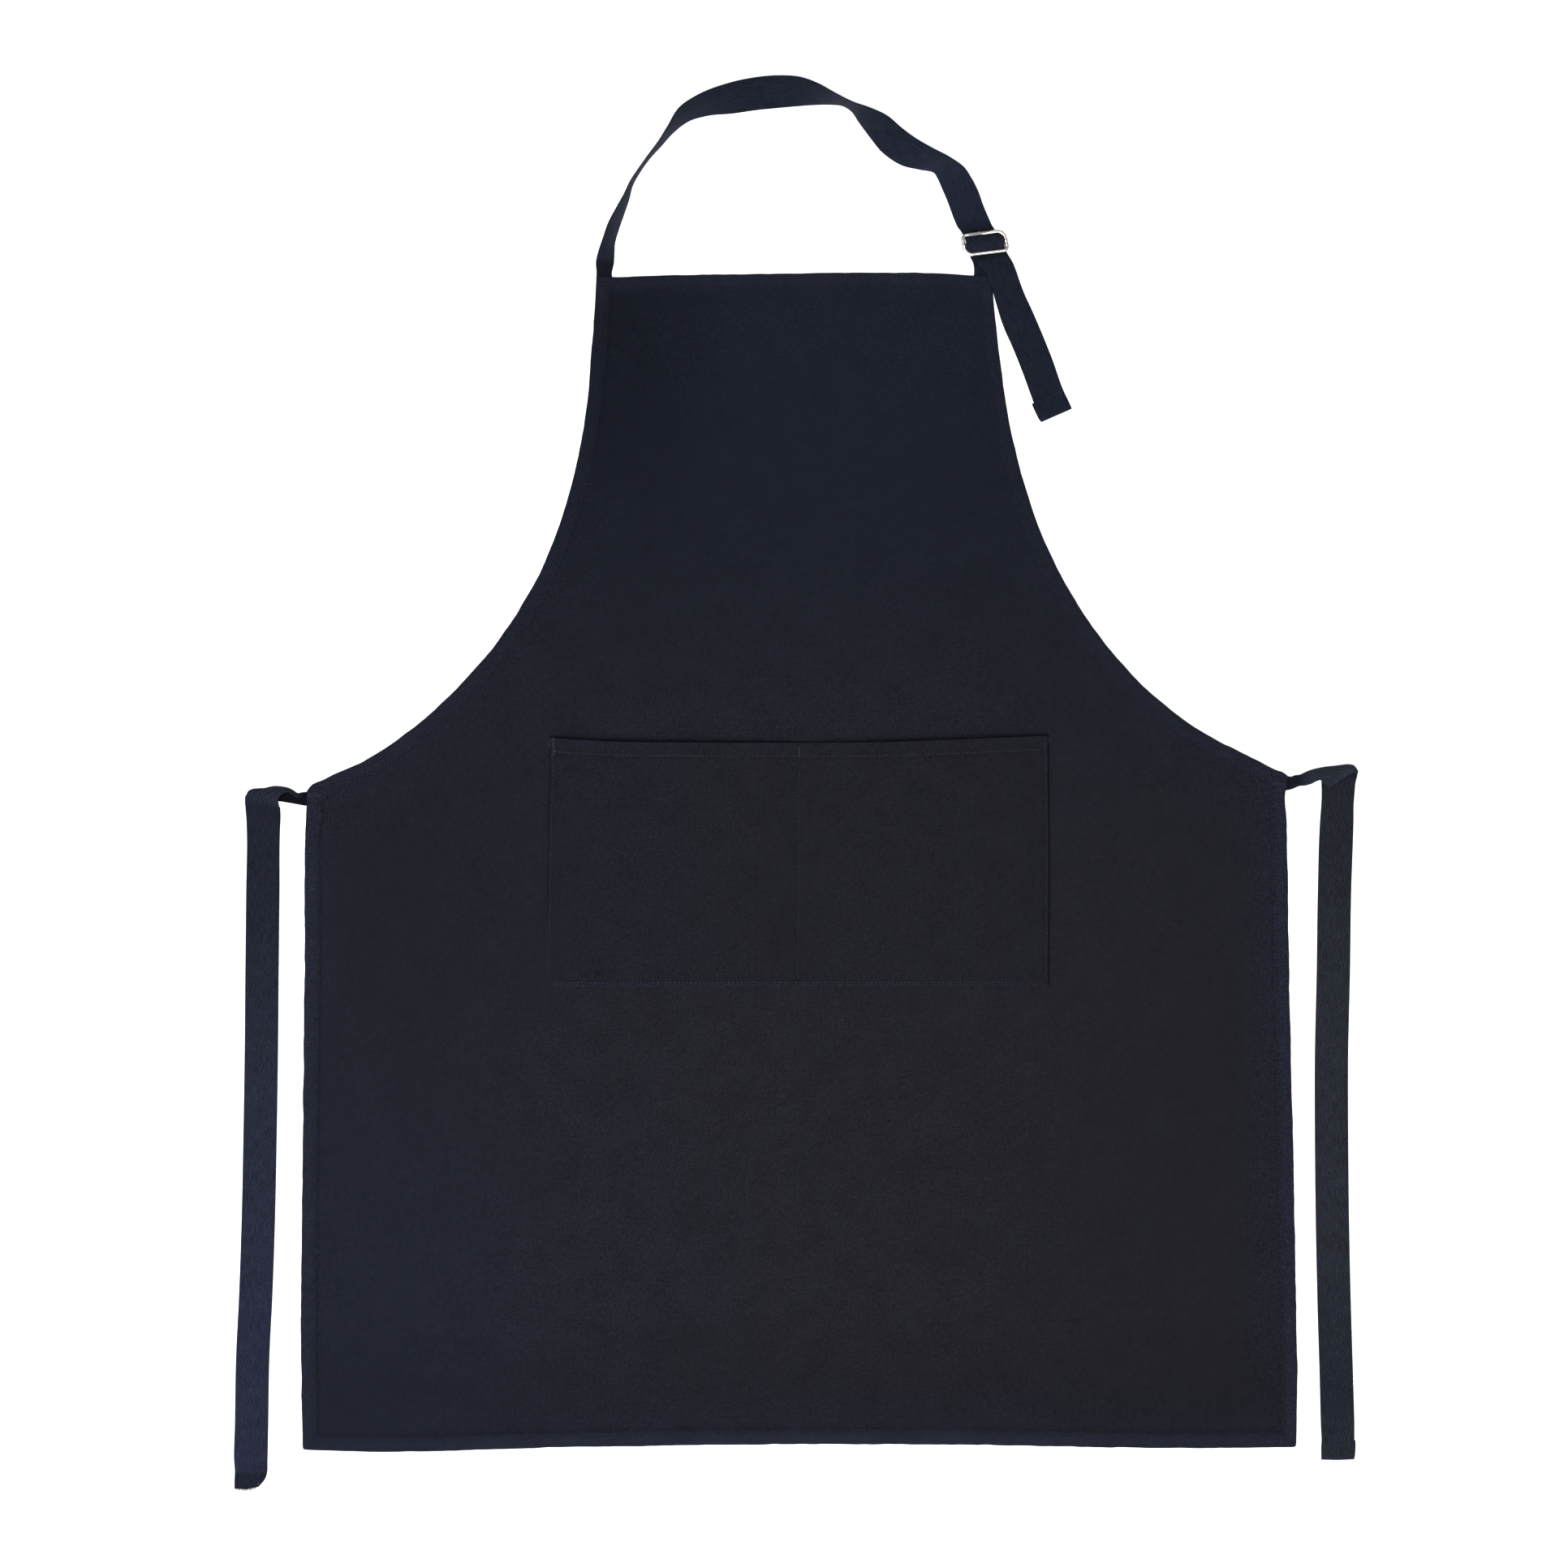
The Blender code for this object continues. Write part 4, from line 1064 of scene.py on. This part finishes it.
NECK_STATIONS = [
    (-139.5, 420.6, 178, 0, 10.6), (-138.9, 427.5, 176, 25, 13.5), (-137.5, 435, 170, 50, 16.5),
    (-135.7, 443, 162, 66, 19.5), (-132.5, 452.7, 158, 72, 22.5), (-127.5, 464, 155, 78),
    (-123.1, 473.9, 155, 83), (-119.5, 483.7, 152, 88), (-114.6, 491.8, 145, 90),
    (-106.7, 502.9, 143, 90), (-99.5, 511.6, 143, 87), (-92.5, 521, 142, 82),
    (-82.1, 532.7, 133, 67), (-69.6, 539, 118, 55), (-49.3, 544.6, 102, 33),
    (-31.9, 548.1, 96, 23), (-14.5, 549.7, 90, 24), (0, 549.3, 83, 38),
    (12.2, 547, 76, 58), (23.5, 543.9, 72, 76), (31.6, 541.3, 70, 84),
    (37.7, 538, 62, 82), (46.1, 532.2, 48, 64), (56.3, 524.4, 50, 41),
    (66.1, 514.9, 50, 28), (78, 506.5, 57, 32), (90.9, 500.9, 52, 48),
    (100.9, 497.1, 40, 55), (107.3, 492.1, 22, 38),
]
# Where the strap comes down to the slider: its right edge, middle and left edge
NECK_ROWS = [
    [(121.8, 488.4, 10.0), (112.2, 484.2, 5.6), (102.6, 480.0, 0.5)],
    [(127.0, 479.1, 7.0), (116.6, 475.3, 4.2), (106.2, 471.5, 0.5)],
    [(131.2, 468.0, 5.0), (120.8, 464.0, 3.4), (110.4, 460.0, 0.8)],
    [(134.8, 460.0, 3.6), (124.0, 456.8, 2.8), (113.2, 453.6, 1.2)],
]
# The strap's edges in the slider, which it fills between the bars: place up the slider, left edge, right edge
SLIDER_EDGES = [
    (-7.05, -9.8, 14.0), (-5.6, -12.4, 13.7), (-4.4, -13.3, 13.5), (4.2, -13.4, 13.4), (5.6, -13.9, 12.6),
    (7.05, -14.6, 10.2), (9.2, -15.2, 7.8), (12.0, -15.8, 7.3),
]
# The tail: its outer edge, middle and inner edge
TAIL_ROWS = [
    [(149.2, 433.0, 2.4), (137.9, 430.8, 2.5), (126.5, 428.6, 2.6)],
    [(152.0, 428.4, 2.4), (142.0, 425.4, 3.6), (132.0, 422.6, 3.9)],
    [(154.8, 421.8, 1.6), (145.7, 418.0, 4.2), (136.3, 414.2, 4.6)],
    [(157.4, 414.2, 0.9), (148.0, 410.2, 3.4), (138.5, 406.2, 3.9)],
    [(161.0, 405.0, 0.5), (151.2, 401.0, 2.4), (141.2, 397.0, 2.4)],
    [(165.2, 396.0, 0.4), (154.8, 391.2, 1.5), (144.5, 386.5, 1.1)],
    [(174.8, 373.6, 0.4), (164.4, 368.9, 0.8), (154.0, 364.2, 0.5)],
    [(180.6, 359.0, 0.4), (170.2, 354.4, 0.8), (159.7, 349.8, 0.5)],
    [(188.2, 337.4, 0.9), (178.0, 332.7, 1.3), (167.6, 328.0, 1.0)],
    [(194.2, 324.3, 1.15), (183.4, 319.6, 1.25), (172.7, 314.9, 1.15)],
]
LEFT_TIE_ROWS = [
    [(-342.5, y, 0.5) for y in (40.6, 43.3, 46.0, 48.6, 51.3)],
    [(-350.4, y, 0.53) for y in (40.5, 43.2, 45.8, 48.4, 50.8)],
    [(-352.8, 40.4, 0.5), (-352.8, 43.6, 0.5), (-352.8, 47.0, 0.6), (-352.8, 49.6, 1.2), (-352.7, 49.4, 2.6)],
    [(-355.0, 40.7, 0.5), (-355.0, 44.6, 0.5), (-355.0, 48.6, 1.2), (-355.0, 49.4, 3.2), (-354.8, 46.8, 4.6)],
    [(-358.0, 41.2, 0.5), (-358.0, 45.4, 0.5), (-358.0, 48.5, 1.8), (-358.0, 48.4, 4.2), (-357.7, 45.6, 5.6)],
    [(-361.2, 41.8, 0.5), (-361.2, 46.4, 0.6), (-361.2, 50.4, 2.4), (-361.2, 50.6, 5.2), (-361.0, 47.9, 7.2)],
    [(-364.6, 42.4, 0.5), (-364.6, 47.6, 0.6), (-364.6, 52.0, 2.8), (-364.6, 52.4, 6.0), (-364.4, 50.0, 8.4)],
    [(-369.4, 43.2, 0.5), (-369.3, 49.0, 0.6), (-369.2, 53.4, 3.2), (-369.0, 52.6, 7.2), (-368.8, 48.6, 9.2)],
    [(-374.6, 44.0, 0.5), (-374.2, 50.0, 0.8), (-373.6, 54.0, 3.6), (-372.8, 50.8, 7.8), (-371.9, 44.8, 7.6)],
    [(-381.6, 45.0, 0.5), (-380.4, 51.0, 1.0), (-378.2, 53.3, 4.2), (-374.8, 48.2, 7.2), (-371.8, 42.8, 6.2)],
    [(-388.8, 46.6, 0.6), (-387.2, 52.3, 2.1), (-381.8, 50.0, 5.6), (-376.4, 45.8, 6.2), (-371.7, 41.2, 4.6)],
    [(-395.0, 48.0, 0.9), (-392.4, 50.6, 3.2), (-384.0, 46.2, 4.8), (-377.6, 43.0, 4.6), (-371.6, 39.9, 3.2)],
    [(-396.0, 44.4, 1.2), (-390.2, 43.8, 3.0), (-383.8, 42.2, 3.6), (-377.5, 40.8, 3.0), (-371.4, 38.9, 2.0)],
    [(-395.7, 39.2, 0.5), (-389.6, 39.2, 0.7), (-383.6, 39.1, 0.75), (-377.4, 38.9, 0.7), (-371.2, 38.6, 0.6)],
    [(-395.1, 32.0, 0.5), (-389.0, 32.0, 1.1), (-383.1, 32.0, 1.4), (-377.0, 32.0, 1.1), (-370.9, 32.0, 0.6)],
]
LEFT_TIE_RUN = [
    (-383.0, 24.4), (-383.4, -22), (-384.0, -80), (-384.5, -138), (-385.4, -196), (-386.6, -254), (-388.6, -312),
    (-390.6, -353), (-391.5, -404), (-392.0, -428),
]
LEFT_TIE_END = [
    [(-403.2, -436, 0.5), (-392.2, -436, 0.5), (-380.5, -436, 0.5)],
    [(-403.5, -441.5, 0.5), (-392.6, -441.5, 0.8), (-381.8, -440.5, 1.1)],
    [(-403.5, -447.8, 0.5), (-394.8, -448.2, 0.6), (-386.4, -446.4, 1.6)],
]
RIGHT_TIE_ROWS = [
    [(338.5, y, 0.5) for y in (62.0, 59.3, 56.5, 53.7, 51.0)],
    [(346.3, y, 0.55) for y in (61.5, 59.0, 56.4, 53.9, 51.3)],
    [(350.4, 60.9, 1.0), (350.4, 59.6, 2.6), (350.4, 56.6, 3.4), (350.4, 53.6, 2.4), (350.4, 51.7, 0.9)],
    [(353.6, 60.4, 1.2), (353.6, 61.6, 3.4), (353.6, 58.0, 5.0), (353.6, 54.4, 3.6), (353.6, 52.9, 1.2)],
    [(357.0, 59.4, 1.4), (357.0, 62.0, 4.0), (357.0, 58.6, 6.2), (357.0, 55.0, 4.4), (357.0, 54.4, 1.4)],
    [(360.4, 60.8, 1.4), (360.4, 63.6, 4.4), (360.4, 60.2, 7.0), (360.4, 56.0, 5.4), (360.4, 54.6, 2.0)],
    [(364.6, 63.2, 1.8), (364.6, 65.4, 5.0), (364.6, 61.8, 7.8), (364.6, 57.8, 6.8), (364.6, 55.6, 3.4)],
    [(369.4, 65.0, 1.8), (369.4, 66.7, 5.2), (369.2, 63.0, 8.2), (368.8, 59.8, 7.6), (368.6, 57.6, 5.0)],
    [(374.6, 66.4, 1.8), (374.4, 67.6, 5.0), (373.0, 63.6, 8.2), (371.8, 60.4, 7.8), (371.4, 58.6, 6.4)],
    [(381.0, 68.0, 1.8), (380.0, 68.0, 5.2), (377.2, 63.6, 7.8), (374.6, 60.0, 7.4), (372.6, 57.6, 6.8)],
    [(387.6, 69.3, 1.8), (385.4, 68.2, 5.0), (381.2, 63.2, 7.2), (377.4, 59.0, 6.8), (373.9, 56.2, 6.4)],
    [(393.2, 69.6, 2.0), (390.0, 67.6, 4.8), (384.8, 62.6, 6.6), (379.8, 58.0, 6.2), (375.4, 54.8, 5.9)],
    [(397.2, 67.8, 2.2), (393.4, 65.6, 4.4), (387.9, 61.4, 5.8), (382.4, 57.2, 5.6), (377.6, 53.5, 5.4)],
    [(398.9, 65.0, 2.2), (394.2, 63.6, 3.8), (388.2, 60.4, 5.0), (382.6, 56.4, 4.8), (377.9, 53.0, 4.6)],
    [(398.8, 64.0, 1.9), (393.6, 63.6, 2.8), (387.2, 60.8, 3.6), (381.4, 57.4, 3.4), (376.4, 54.6, 3.2)],
    [(398.7, 63.6, 1.5), (392.8, 64.2, 1.8), (386.0, 62.4, 2.0), (379.8, 60.2, 1.9), (374.2, 58.4, 1.6)],
    [(398.6, 63.0, 1.0), (392.4, 63.2, 1.0), (385.6, 61.8, 1.0), (379.4, 60.2, 0.9), (373.4, 58.9, 0.8)],
    [(398.2, 60.6, 0.8), (391.8, 60.0, 0.9), (385.4, 58.9, 0.9), (379.3, 57.4, 0.8), (373.2, 56.2, 0.6)],
    [(397.2, 56.8, 0.7), (391.2, 56.0, 0.9), (385.2, 54.8, 1.0), (379.2, 53.2, 0.9), (373.3, 52.0, 0.6)],
    [(396.6, 50.4, 0.6), (390.8, 49.8, 0.9), (385.0, 48.6, 1.0), (379.2, 47.4, 0.9), (373.3, 46.2, 0.5)],
    [(396.0, 42.6, 0.5), (390.2, 42.3, 0.8), (384.6, 42.0, 1.0), (378.8, 41.7, 0.8), (373.1, 41.4, 0.5)],
]
RIGHT_TIE_RUN = [
    (384.0, 30), (382.3, -22), (381.5, -80), (380.2, -138), (380.2, -196), (380.8, -254), (382, -312),
    (383.7, -370), (384.6, -405),
]


def five(row):
    """A row of three points across a tape as one of five."""
    a, b, c = (np.array(point, float) for point in row)
    return [a, (a + b) / 2, b, (b + c) / 2, c]


def run_rows(points, seed, outer=1):
    """Rows of a tape that lies flat along the table, its surface a little uneven."""
    draw = random.Random(seed)
    half = outer * TAPE_WIDE / 2
    rows = []
    for x, y in points:
        middle = (x, y, 0.55 + draw.uniform(0, 0.5))
        edges = [(x + side, y, 0.4 + draw.uniform(0, 0.4)) for side in (half, -half)]
        rows.append([edges[0], middle, edges[1]])
    return rows


def fold_under(row, ahead, length, skew=0.0):
    """Rows that turn a tape's end under itself and run back."""
    row = np.array(row, float)
    ahead = np.array((*ahead, 0.0))
    aside = np.array((ahead[1], -ahead[0], 0))
    down = np.array((0, 0, -1.0))
    return [
        row + ahead * 0.42 + down * 0.36,
        row + down * 0.74 + aside * skew * 0.2,
        row - ahead * length * 0.5 + down * 0.74 + aside * skew,
        row - ahead * length + down * 0.72 + aside * skew,
    ]


def make_neck_strap(tape):
    rows = [station(-139.5, y, 178, 0, 11, 0.5, 0.1) for y in (410.6, 417.8)]
    rows += [station(*s, bow=0.5) for s in NECK_STATIONS]
    profile = [
        *arc((BAR_SPACING, BAR_Z), UNDER, -90, -90 - THREADING, 4),
        *arc((0, BAR_Z), OVER, 90 - THREADING, 90 + THREADING, 8),
        *arc((-BAR_SPACING, BAR_Z), UNDER, -90 + THREADING, -90, 4),
    ]
    rows += NECK_ROWS
    places, left, right = np.array(SLIDER_EDGES).T
    for v, z in [(9.6, 1.9), *profile]:
        a, b = np.interp(v, places, right), np.interp(v, places, left)
        rows.append([in_slider(a, v, z), in_slider((a + b) / 2, v, z), in_slider(b, v, z)])
    # painted shade where the strap comes out from under the hem and where it goes under the slider's top bar
    tints = [
        (0, TAPE_PAINTED_SHADE), (17, TAPE_PAINTED_SHADE), (22, NECK_ROOT), (80, NECK_ROOT), (130, NECK_TOP),
        (270, NECK_TOP), (330, NECK_RIGHT), (-34, NECK_RIGHT), (-26, NECK_TOP), (-19, TAPE_PAINTED_SHADE), (-14, STRAP_WINDOW),
        (-4, STRAP_WINDOW), (-0.01, TAIL_TINT),
    ]
    long = ribbon("neck_strap_tape", rows, tints, tape, ["neck_strap", "neck_strap_sewn_end"])
    return rows[-1], long


def make_tail(tape, thread, first_row, start_v):
    rows = [first_row, *TAIL_ROWS]
    turn = math.radians(24 - 90)
    ahead = (math.cos(turn), math.sin(turn))
    rows += fold_under(TAIL_ROWS[-1], ahead, 14, 0.9)
    # painted shade where the tail comes out from under the slider's bar
    tints = [(0, TAPE_PAINTED_SHADE), (3, TAPE_PAINTED_SHADE), (6, TAIL_TINT), (-0.01, TAIL_TINT)]
    ribbon("strap_tail_tape", rows, tints, tape, ["strap_tail"],
           start_v=start_v)
    line = [(167.3, 328.9, 1.62), (172.6, 330.1, 1.85), (177.5, 331.7, 1.9), (182.6, 334.4, 1.8), (187.9, 335.6, 1.42)]
    end_seam("strap_tail", line, thread, 51, "free_tail", long=2.6)


def make_anchor(tape):
    """The short tape that runs from under the hem round the slider's centre bar and back."""
    start = SLIDER_AT[1] - NECK_HINGE_Y
    sewn = SLIDER_AT[1] - 410.5
    profile = [
        (-sewn, 1.3), (-start - 1.5, 1.3), (2.4 - start, 1.4), (-14, 1.4),
        *arc((-BAR_SPACING, BAR_Z), OVER, -90, -90 + THREADING, 4),
        *arc((0, BAR_Z), UNDER, 90 + THREADING, -105, 14),
        (-4, 0.95), (-8.5, 0.4), (-14, 0.38), (1.0 - start, 0.38), (-start - 1.5, 0.4), (-sewn, 0.4),
    ]
    rows = []
    for v, z in profile:
        share = min(max((v + start) / (start - BAR_SPACING), 0), 1)
        width = 11.2 + (TAPE_WIDE - 0.5 - 11.2) * share**1.5
        x = ANCHOR_ROOT_X + (SLIDER_AT[0] - ANCHOR_ROOT_X) * share - v * math.sin(SLIDER_TURN) * share
        rows.append(station(x, SLIDER_AT[1] + v, math.degrees(SLIDER_TURN) * share, 0, width, z))
    # painted shade where the loop runs under and round the slider's bars
    tints = [(0, ANCHOR_TINT), (15, ANCHOR_TINT), (26, TAPE_PAINTED_SHADE), (46, TAPE_PAINTED_SHADE), (-0.01, TAIL_TINT)]
    ribbon("anchor_loop_tape", rows, tints, tape, ["anchor_loop", "anchor_sewn_end"])


def make_left_tie(tape, thread):
    rows = LEFT_TIE_ROWS + [five(row) for row in run_rows(LEFT_TIE_RUN, 61, -1) + LEFT_TIE_END]
    # painted shade in the crease where the tie comes out from under the hem
    tints = [
        (0, CREASE_PAINTED_SHADE), (13, CREASE_PAINTED_SHADE), (17, NECK_ROOT), (21, LEFT_TOP), (27, LEFT_ARCH), (47, LEFT_ARCH),
        (52, LEFT_TOP), (55.5, NECK_TOP), (59, LEFT_TOP), (110, LEFT_TOP), (260, LEFT_MIDDLE), (420, LEFT_LOW),
        (-14, LEFT_LOW), (-11, LEFT_END), (-0.01, LEFT_END),
    ]
    # painted shade on the underside of the tie's arch
    inside = [(0, CREASE_PAINTED_SHADE), (34, CREASE_PAINTED_SHADE), (50, LEFT_TOP)]
    ribbon("left_tie_tape", rows, tints, tape, ["left_tie", "left_tie_sewn_end"], under_tints=inside,
           spacing=1.4, columns=17)
    line = [
        (-402.6, -435.2, 1.0), (-397, -434.6, 1.05), (-391.8, -434.9, 1.1), (-386, -434.5, 1.05), (-381.2, -434.2, 1.0),
    ]
    end_seam("left_tie_end", line, thread, 62, "left_waist_tie")
    draw = random.Random(63)
    paths, colours = [], []
    for i in range(64):
        share = i / 63
        x = -403.4 + share * 17 + draw.uniform(-0.2, 0.2)
        y = -447.6 - 0.9 * math.sin(math.pi * min(1, share * 1.15)) + 1.6 * step(share, 0.8, 1)
        out = draw.uniform(0.5, 2.0) * (0.5 if share > 0.75 else 1)
        sway = draw.uniform(-0.7, 0.7)
        z = draw.uniform(0.35, 0.7)
        tip = (x + sway, y - out, max(0.15, z - 0.25))
        paths.append([(x, y + 1.2, z + 0.1), (x + sway * 0.3, y - out * 0.4, z), tip])
        shade = draw.uniform(0.7, 1.7)
        colours.append(tuple(c * shade for c in FRAYED_THREAD))
    paths.append([(-386.6, -443.2, 1.7), (-386.2, -445.4, 2.1), (-386.9, -447.9, 1.3), (-386.3, -449.0, 0.7)])
    colours.append(PALE_THREAD)
    strand("left_tie_frayed_edge", paths, 0.12, colours, thread, "left_waist_tie")


def make_right_tie(tape, thread):
    end = [
        [(396.3, -413.5, 0.95), (384.8, -413.5, 1.15), (373.2, -413.5, 0.95)],
        [(396.3, -418.5, 1.15), (384.7, -418.5, 1.3), (372.9, -418.5, 1.15)],
        [(396.2, -426.2, 1.12), (384.6, -426.6, 1.2), (372.9, -426.4, 1.12)],
    ]
    rows = run_rows(RIGHT_TIE_RUN, 71) + end + fold_under(end[-1], (0, -1), 13, -1.0)
    rows = RIGHT_TIE_ROWS + [five(row) for row in rows]
    # painted shade in the crease and at the root where the tie comes out from under the hem, a painted highlight along
    # the rim of its fold, and painted shade just under the fold
    tints = [
        (0, CREASE_PAINTED_SHADE), (10, CREASE_PAINTED_SHADE), (15, ROOT_PAINTED_SHADE), (20, ROOT_PAINTED_SHADE), (23.5, NECK_ROOT), (28, RIGHT_FLAP),
        (50, RIGHT_FLAP), (53.5, FOLD_PAINTED_HIGHLIGHT), (54.8, RIGHT_TOP), (56, TAPE_PAINTED_SHADE), (61, NECK_TOP), (67, RIGHT_TOP),
        (110, RIGHT_TOP), (220, RIGHT_MIDDLE), (400, RIGHT_MIDDLE), (-60, RIGHT_LOW), (-0.01, RIGHT_MIDDLE),
    ]
    ribbon("right_tie_tape", rows, tints, tape, ["right_tie", "right_tie_sewn_end"], spacing=1.4, columns=17)
    line = [
        (374.2, -415.1, 1.62), (379.5, -414.8, 1.72), (384.7, -415.1, 1.76), (390, -414.7, 1.72), (395.2, -415, 1.62),
    ]
    end_seam("right_tie_end", line, thread, 72, "right_waist_tie")


# ---------------------------------------------------------------- slider

def metal_piece(name, points, faces, material, replaces=()):
    new_piece(name, points, faces, None, (1, 1, 1), material, body="neck_loop", slot="slider_metal",
              replaces=replaces)


def wire_tube(name, path, radii, material, node, broad=1.0):
    sides = 24
    points = tube_points(np.array(path, float), radii, sides, broad)
    metal_piece(name, points, tube_faces(0, len(path), sides), material, [node])


def rounded_corners(corners, steps):
    """A closed path of straight runs and arcs, from corners given as u, v and radius."""
    path = []
    for i, (u, v, radius) in enumerate(corners):
        corner = np.array((u, v))
        back = np.array(corners[i - 1][:2]) - corner
        ahead = np.array(corners[(i + 1) % len(corners)][:2]) - corner
        back, ahead = back / np.linalg.norm(back), ahead / np.linalg.norm(ahead)
        half = math.acos(float(back @ ahead)) / 2
        middle = (back + ahead) / np.linalg.norm(back + ahead)
        centre = corner + middle * radius / math.sin(half)
        a, b = corner + back * radius / math.tan(half) - centre, corner + ahead * radius / math.tan(half) - centre
        start, end = math.atan2(a[1], a[0]), math.atan2(b[1], b[0])
        turn = (end - start + math.pi) % (2 * math.pi) - math.pi
        for s in range(steps + 1):
            angle = start + turn * s / steps
            path.append(centre + radius * np.array((math.cos(angle), math.sin(angle))))
    return path


def make_slider(metal):
    tight, easy = 3.0, 5.5
    corners = [
        (-SLIDER_HALF - SLIDER_LEAN, BAR_SPACING, tight), (SLIDER_HALF - SLIDER_LEAN, BAR_SPACING, easy),
        (SLIDER_HALF + SLIDER_LEAN, -BAR_SPACING, tight), (-SLIDER_HALF + SLIDER_LEAN, -BAR_SPACING, easy),
    ]
    frame = rounded_corners(corners, 10)
    seam_u, slit, bevel = -1.9, 0.07, 0.16  # the wire's two ends butt in the top bar
    split = next(i for i, (u, v) in enumerate(frame) if v > BAR_SPACING - 1e-6 and u > seam_u and i > 5)
    start, end = ([(seam_u + d, BAR_SPACING) for d in two] for two in ((slit, slit + bevel), (-slit - bevel, -slit)))
    points = [in_slider(u, v, BAR_Z) for u, v in [*start, *frame[split:], *frame[:split], *end]]
    radii = [WIRE_RADIUS * 0.84] + [WIRE_RADIUS] * (len(points) - 2) + [WIRE_RADIUS * 0.84]
    wire_tube("slider_wire", points, radii, metal, "slider_frame", broad=1.26)

    reach = SLIDER_HALF - EYE_OUTER + 0.2
    us = np.linspace(-reach, reach, 25)
    bar = [in_slider(u, 0, BAR_Z) for u in us]
    radii = [WIRE_RADIUS * (1 - 0.10 * abs(u / reach) ** 6) for u in us]
    wire_tube("slider_bar_wire", bar, radii, metal, "slider_bar")
    make_eye("slider_left_eye", -SLIDER_HALF, math.pi, metal)
    make_eye("slider_right_eye", SLIDER_HALF, 0.0, metal)


def make_eye(name, u, seam_at, metal):
    """The end of the centre bar, curled round the frame's side wire, with the seam where it closes."""
    steps, slit, bevel, end = 30, 0.09, 0.16, EYE_LONG / 2
    half = [(EYE_INNER, end - 0.2), (EYE_INNER + bevel, end), (EYE_OUTER - bevel, end), (EYE_OUTER, end - 0.3)]
    section = [(r, -v) for r, v in half] + [(EYE_OUTER + 0.04, 0)] + half[::-1]
    lean = math.atan2(SLIDER_LEAN, BAR_SPACING)
    axis = np.array((-math.sin(lean), math.cos(lean)))
    side = np.array((math.cos(lean), math.sin(lean)))
    points = []
    for i in range(steps + 1):
        angle = seam_at + slit + (2 * math.pi - 2 * slit) * i / steps
        for radius, v in section:
            flat = np.array((u, 0)) + axis * v + side * radius * math.cos(angle)
            points.append(in_slider(flat[0], flat[1], BAR_Z + radius * math.sin(angle)))
    metal_piece(name, points, tube_faces(0, steps + 1, len(section)), metal)


# ---------------------------------------------------------------- studio

def make_studio():
    scene = bpy.context.scene
    scene.view_settings.view_transform = "Standard"
    scene.view_settings.look = "None"
    world = bpy.data.worlds.new("studio")
    scene.world = world
    world.use_nodes = True
    n = Nodes(world.node_tree)
    background = n.tree.nodes["Background"]
    back = n.ramp(n.split(n.coordinates("Generated"))[1], -0.05, 0.35)
    n.put(background.inputs["Color"], n.blend((0.95, 0.96, 1.0, 1), (0.70, 0.66, 0.62, 1), back))
    background.inputs["Strength"].default_value = 0.45

    white = new_material("white_floor", 0.9)
    white.shader.inputs["Base Color"].default_value = (0.92, 0.92, 0.92, 1)
    white.shader.inputs["Emission Color"].default_value = (1, 1, 1, 1)
    white.shader.inputs["Emission Strength"].default_value = 0.7
    mesh = bpy.data.meshes.new("floor")
    wide, low = 8.0, -0.0002
    mesh.from_pydata([(-wide, -wide, low), (wide, -wide, low), (wide, wide, low), (-wide, wide, low)],
                     [], [(0, 1, 2, 3)])
    mesh.materials.append(white.material)
    floor = bpy.data.objects.new("floor", mesh)
    scene.collection.objects.link(floor)

    for name, place, size, power in (
        ("overhead_softbox", (-0.5, -0.7, 3.7), 2.4, 95), ("key_softbox", (-1.7, -1.9, 2.9), 1.4, 34),
    ):
        light = bpy.data.lights.new(name, "AREA")
        light.shape = "SQUARE"
        light.size = size
        light.energy = power
        lamp = bpy.data.objects.new(name, light)
        lamp.location = place
        lamp.rotation_euler = (-Vector(place)).to_track_quat("-Z", "Y").to_euler()
        scene.collection.objects.link(lamp)


def make_camera():
    """Straight above, the whole apron in view, as a copy stand sees it."""
    camera = bpy.data.cameras.new("camera")
    camera.lens = 100
    camera.sensor_width = 36
    obj = bpy.data.objects.new("camera", camera)
    obj.location = (*VIEW_CENTRE, VIEW_WIDE * camera.lens / camera.sensor_width)
    bpy.context.scene.collection.objects.link(obj)
    bpy.context.scene.camera = obj


def corners(box):
    return [list(box[0]), list(box[1])]


def main():
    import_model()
    make_camera()
    make_studio()
    cloth, thread, metal = twill_material(), thread_material(), metal_material()
    tape, worn_tape = tape_material("tie_herringbone", TAPE_DEPTH), tape_material("strap_herringbone", WORN_DEPTH)
    outline = make_body_panel(cloth)
    make_hem_seams(outline, thread)
    make_pocket(cloth)
    make_pocket_seams(thread)
    make_bartacks(thread)
    make_loose_threads(thread)
    make_slider(metal)
    last_row, long = make_neck_strap(worn_tape)
    make_tail(worn_tape, thread, last_row, long)
    make_anchor(worn_tape)
    make_left_tie(tape, thread)
    make_right_tie(tape, thread)
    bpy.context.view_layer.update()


main()
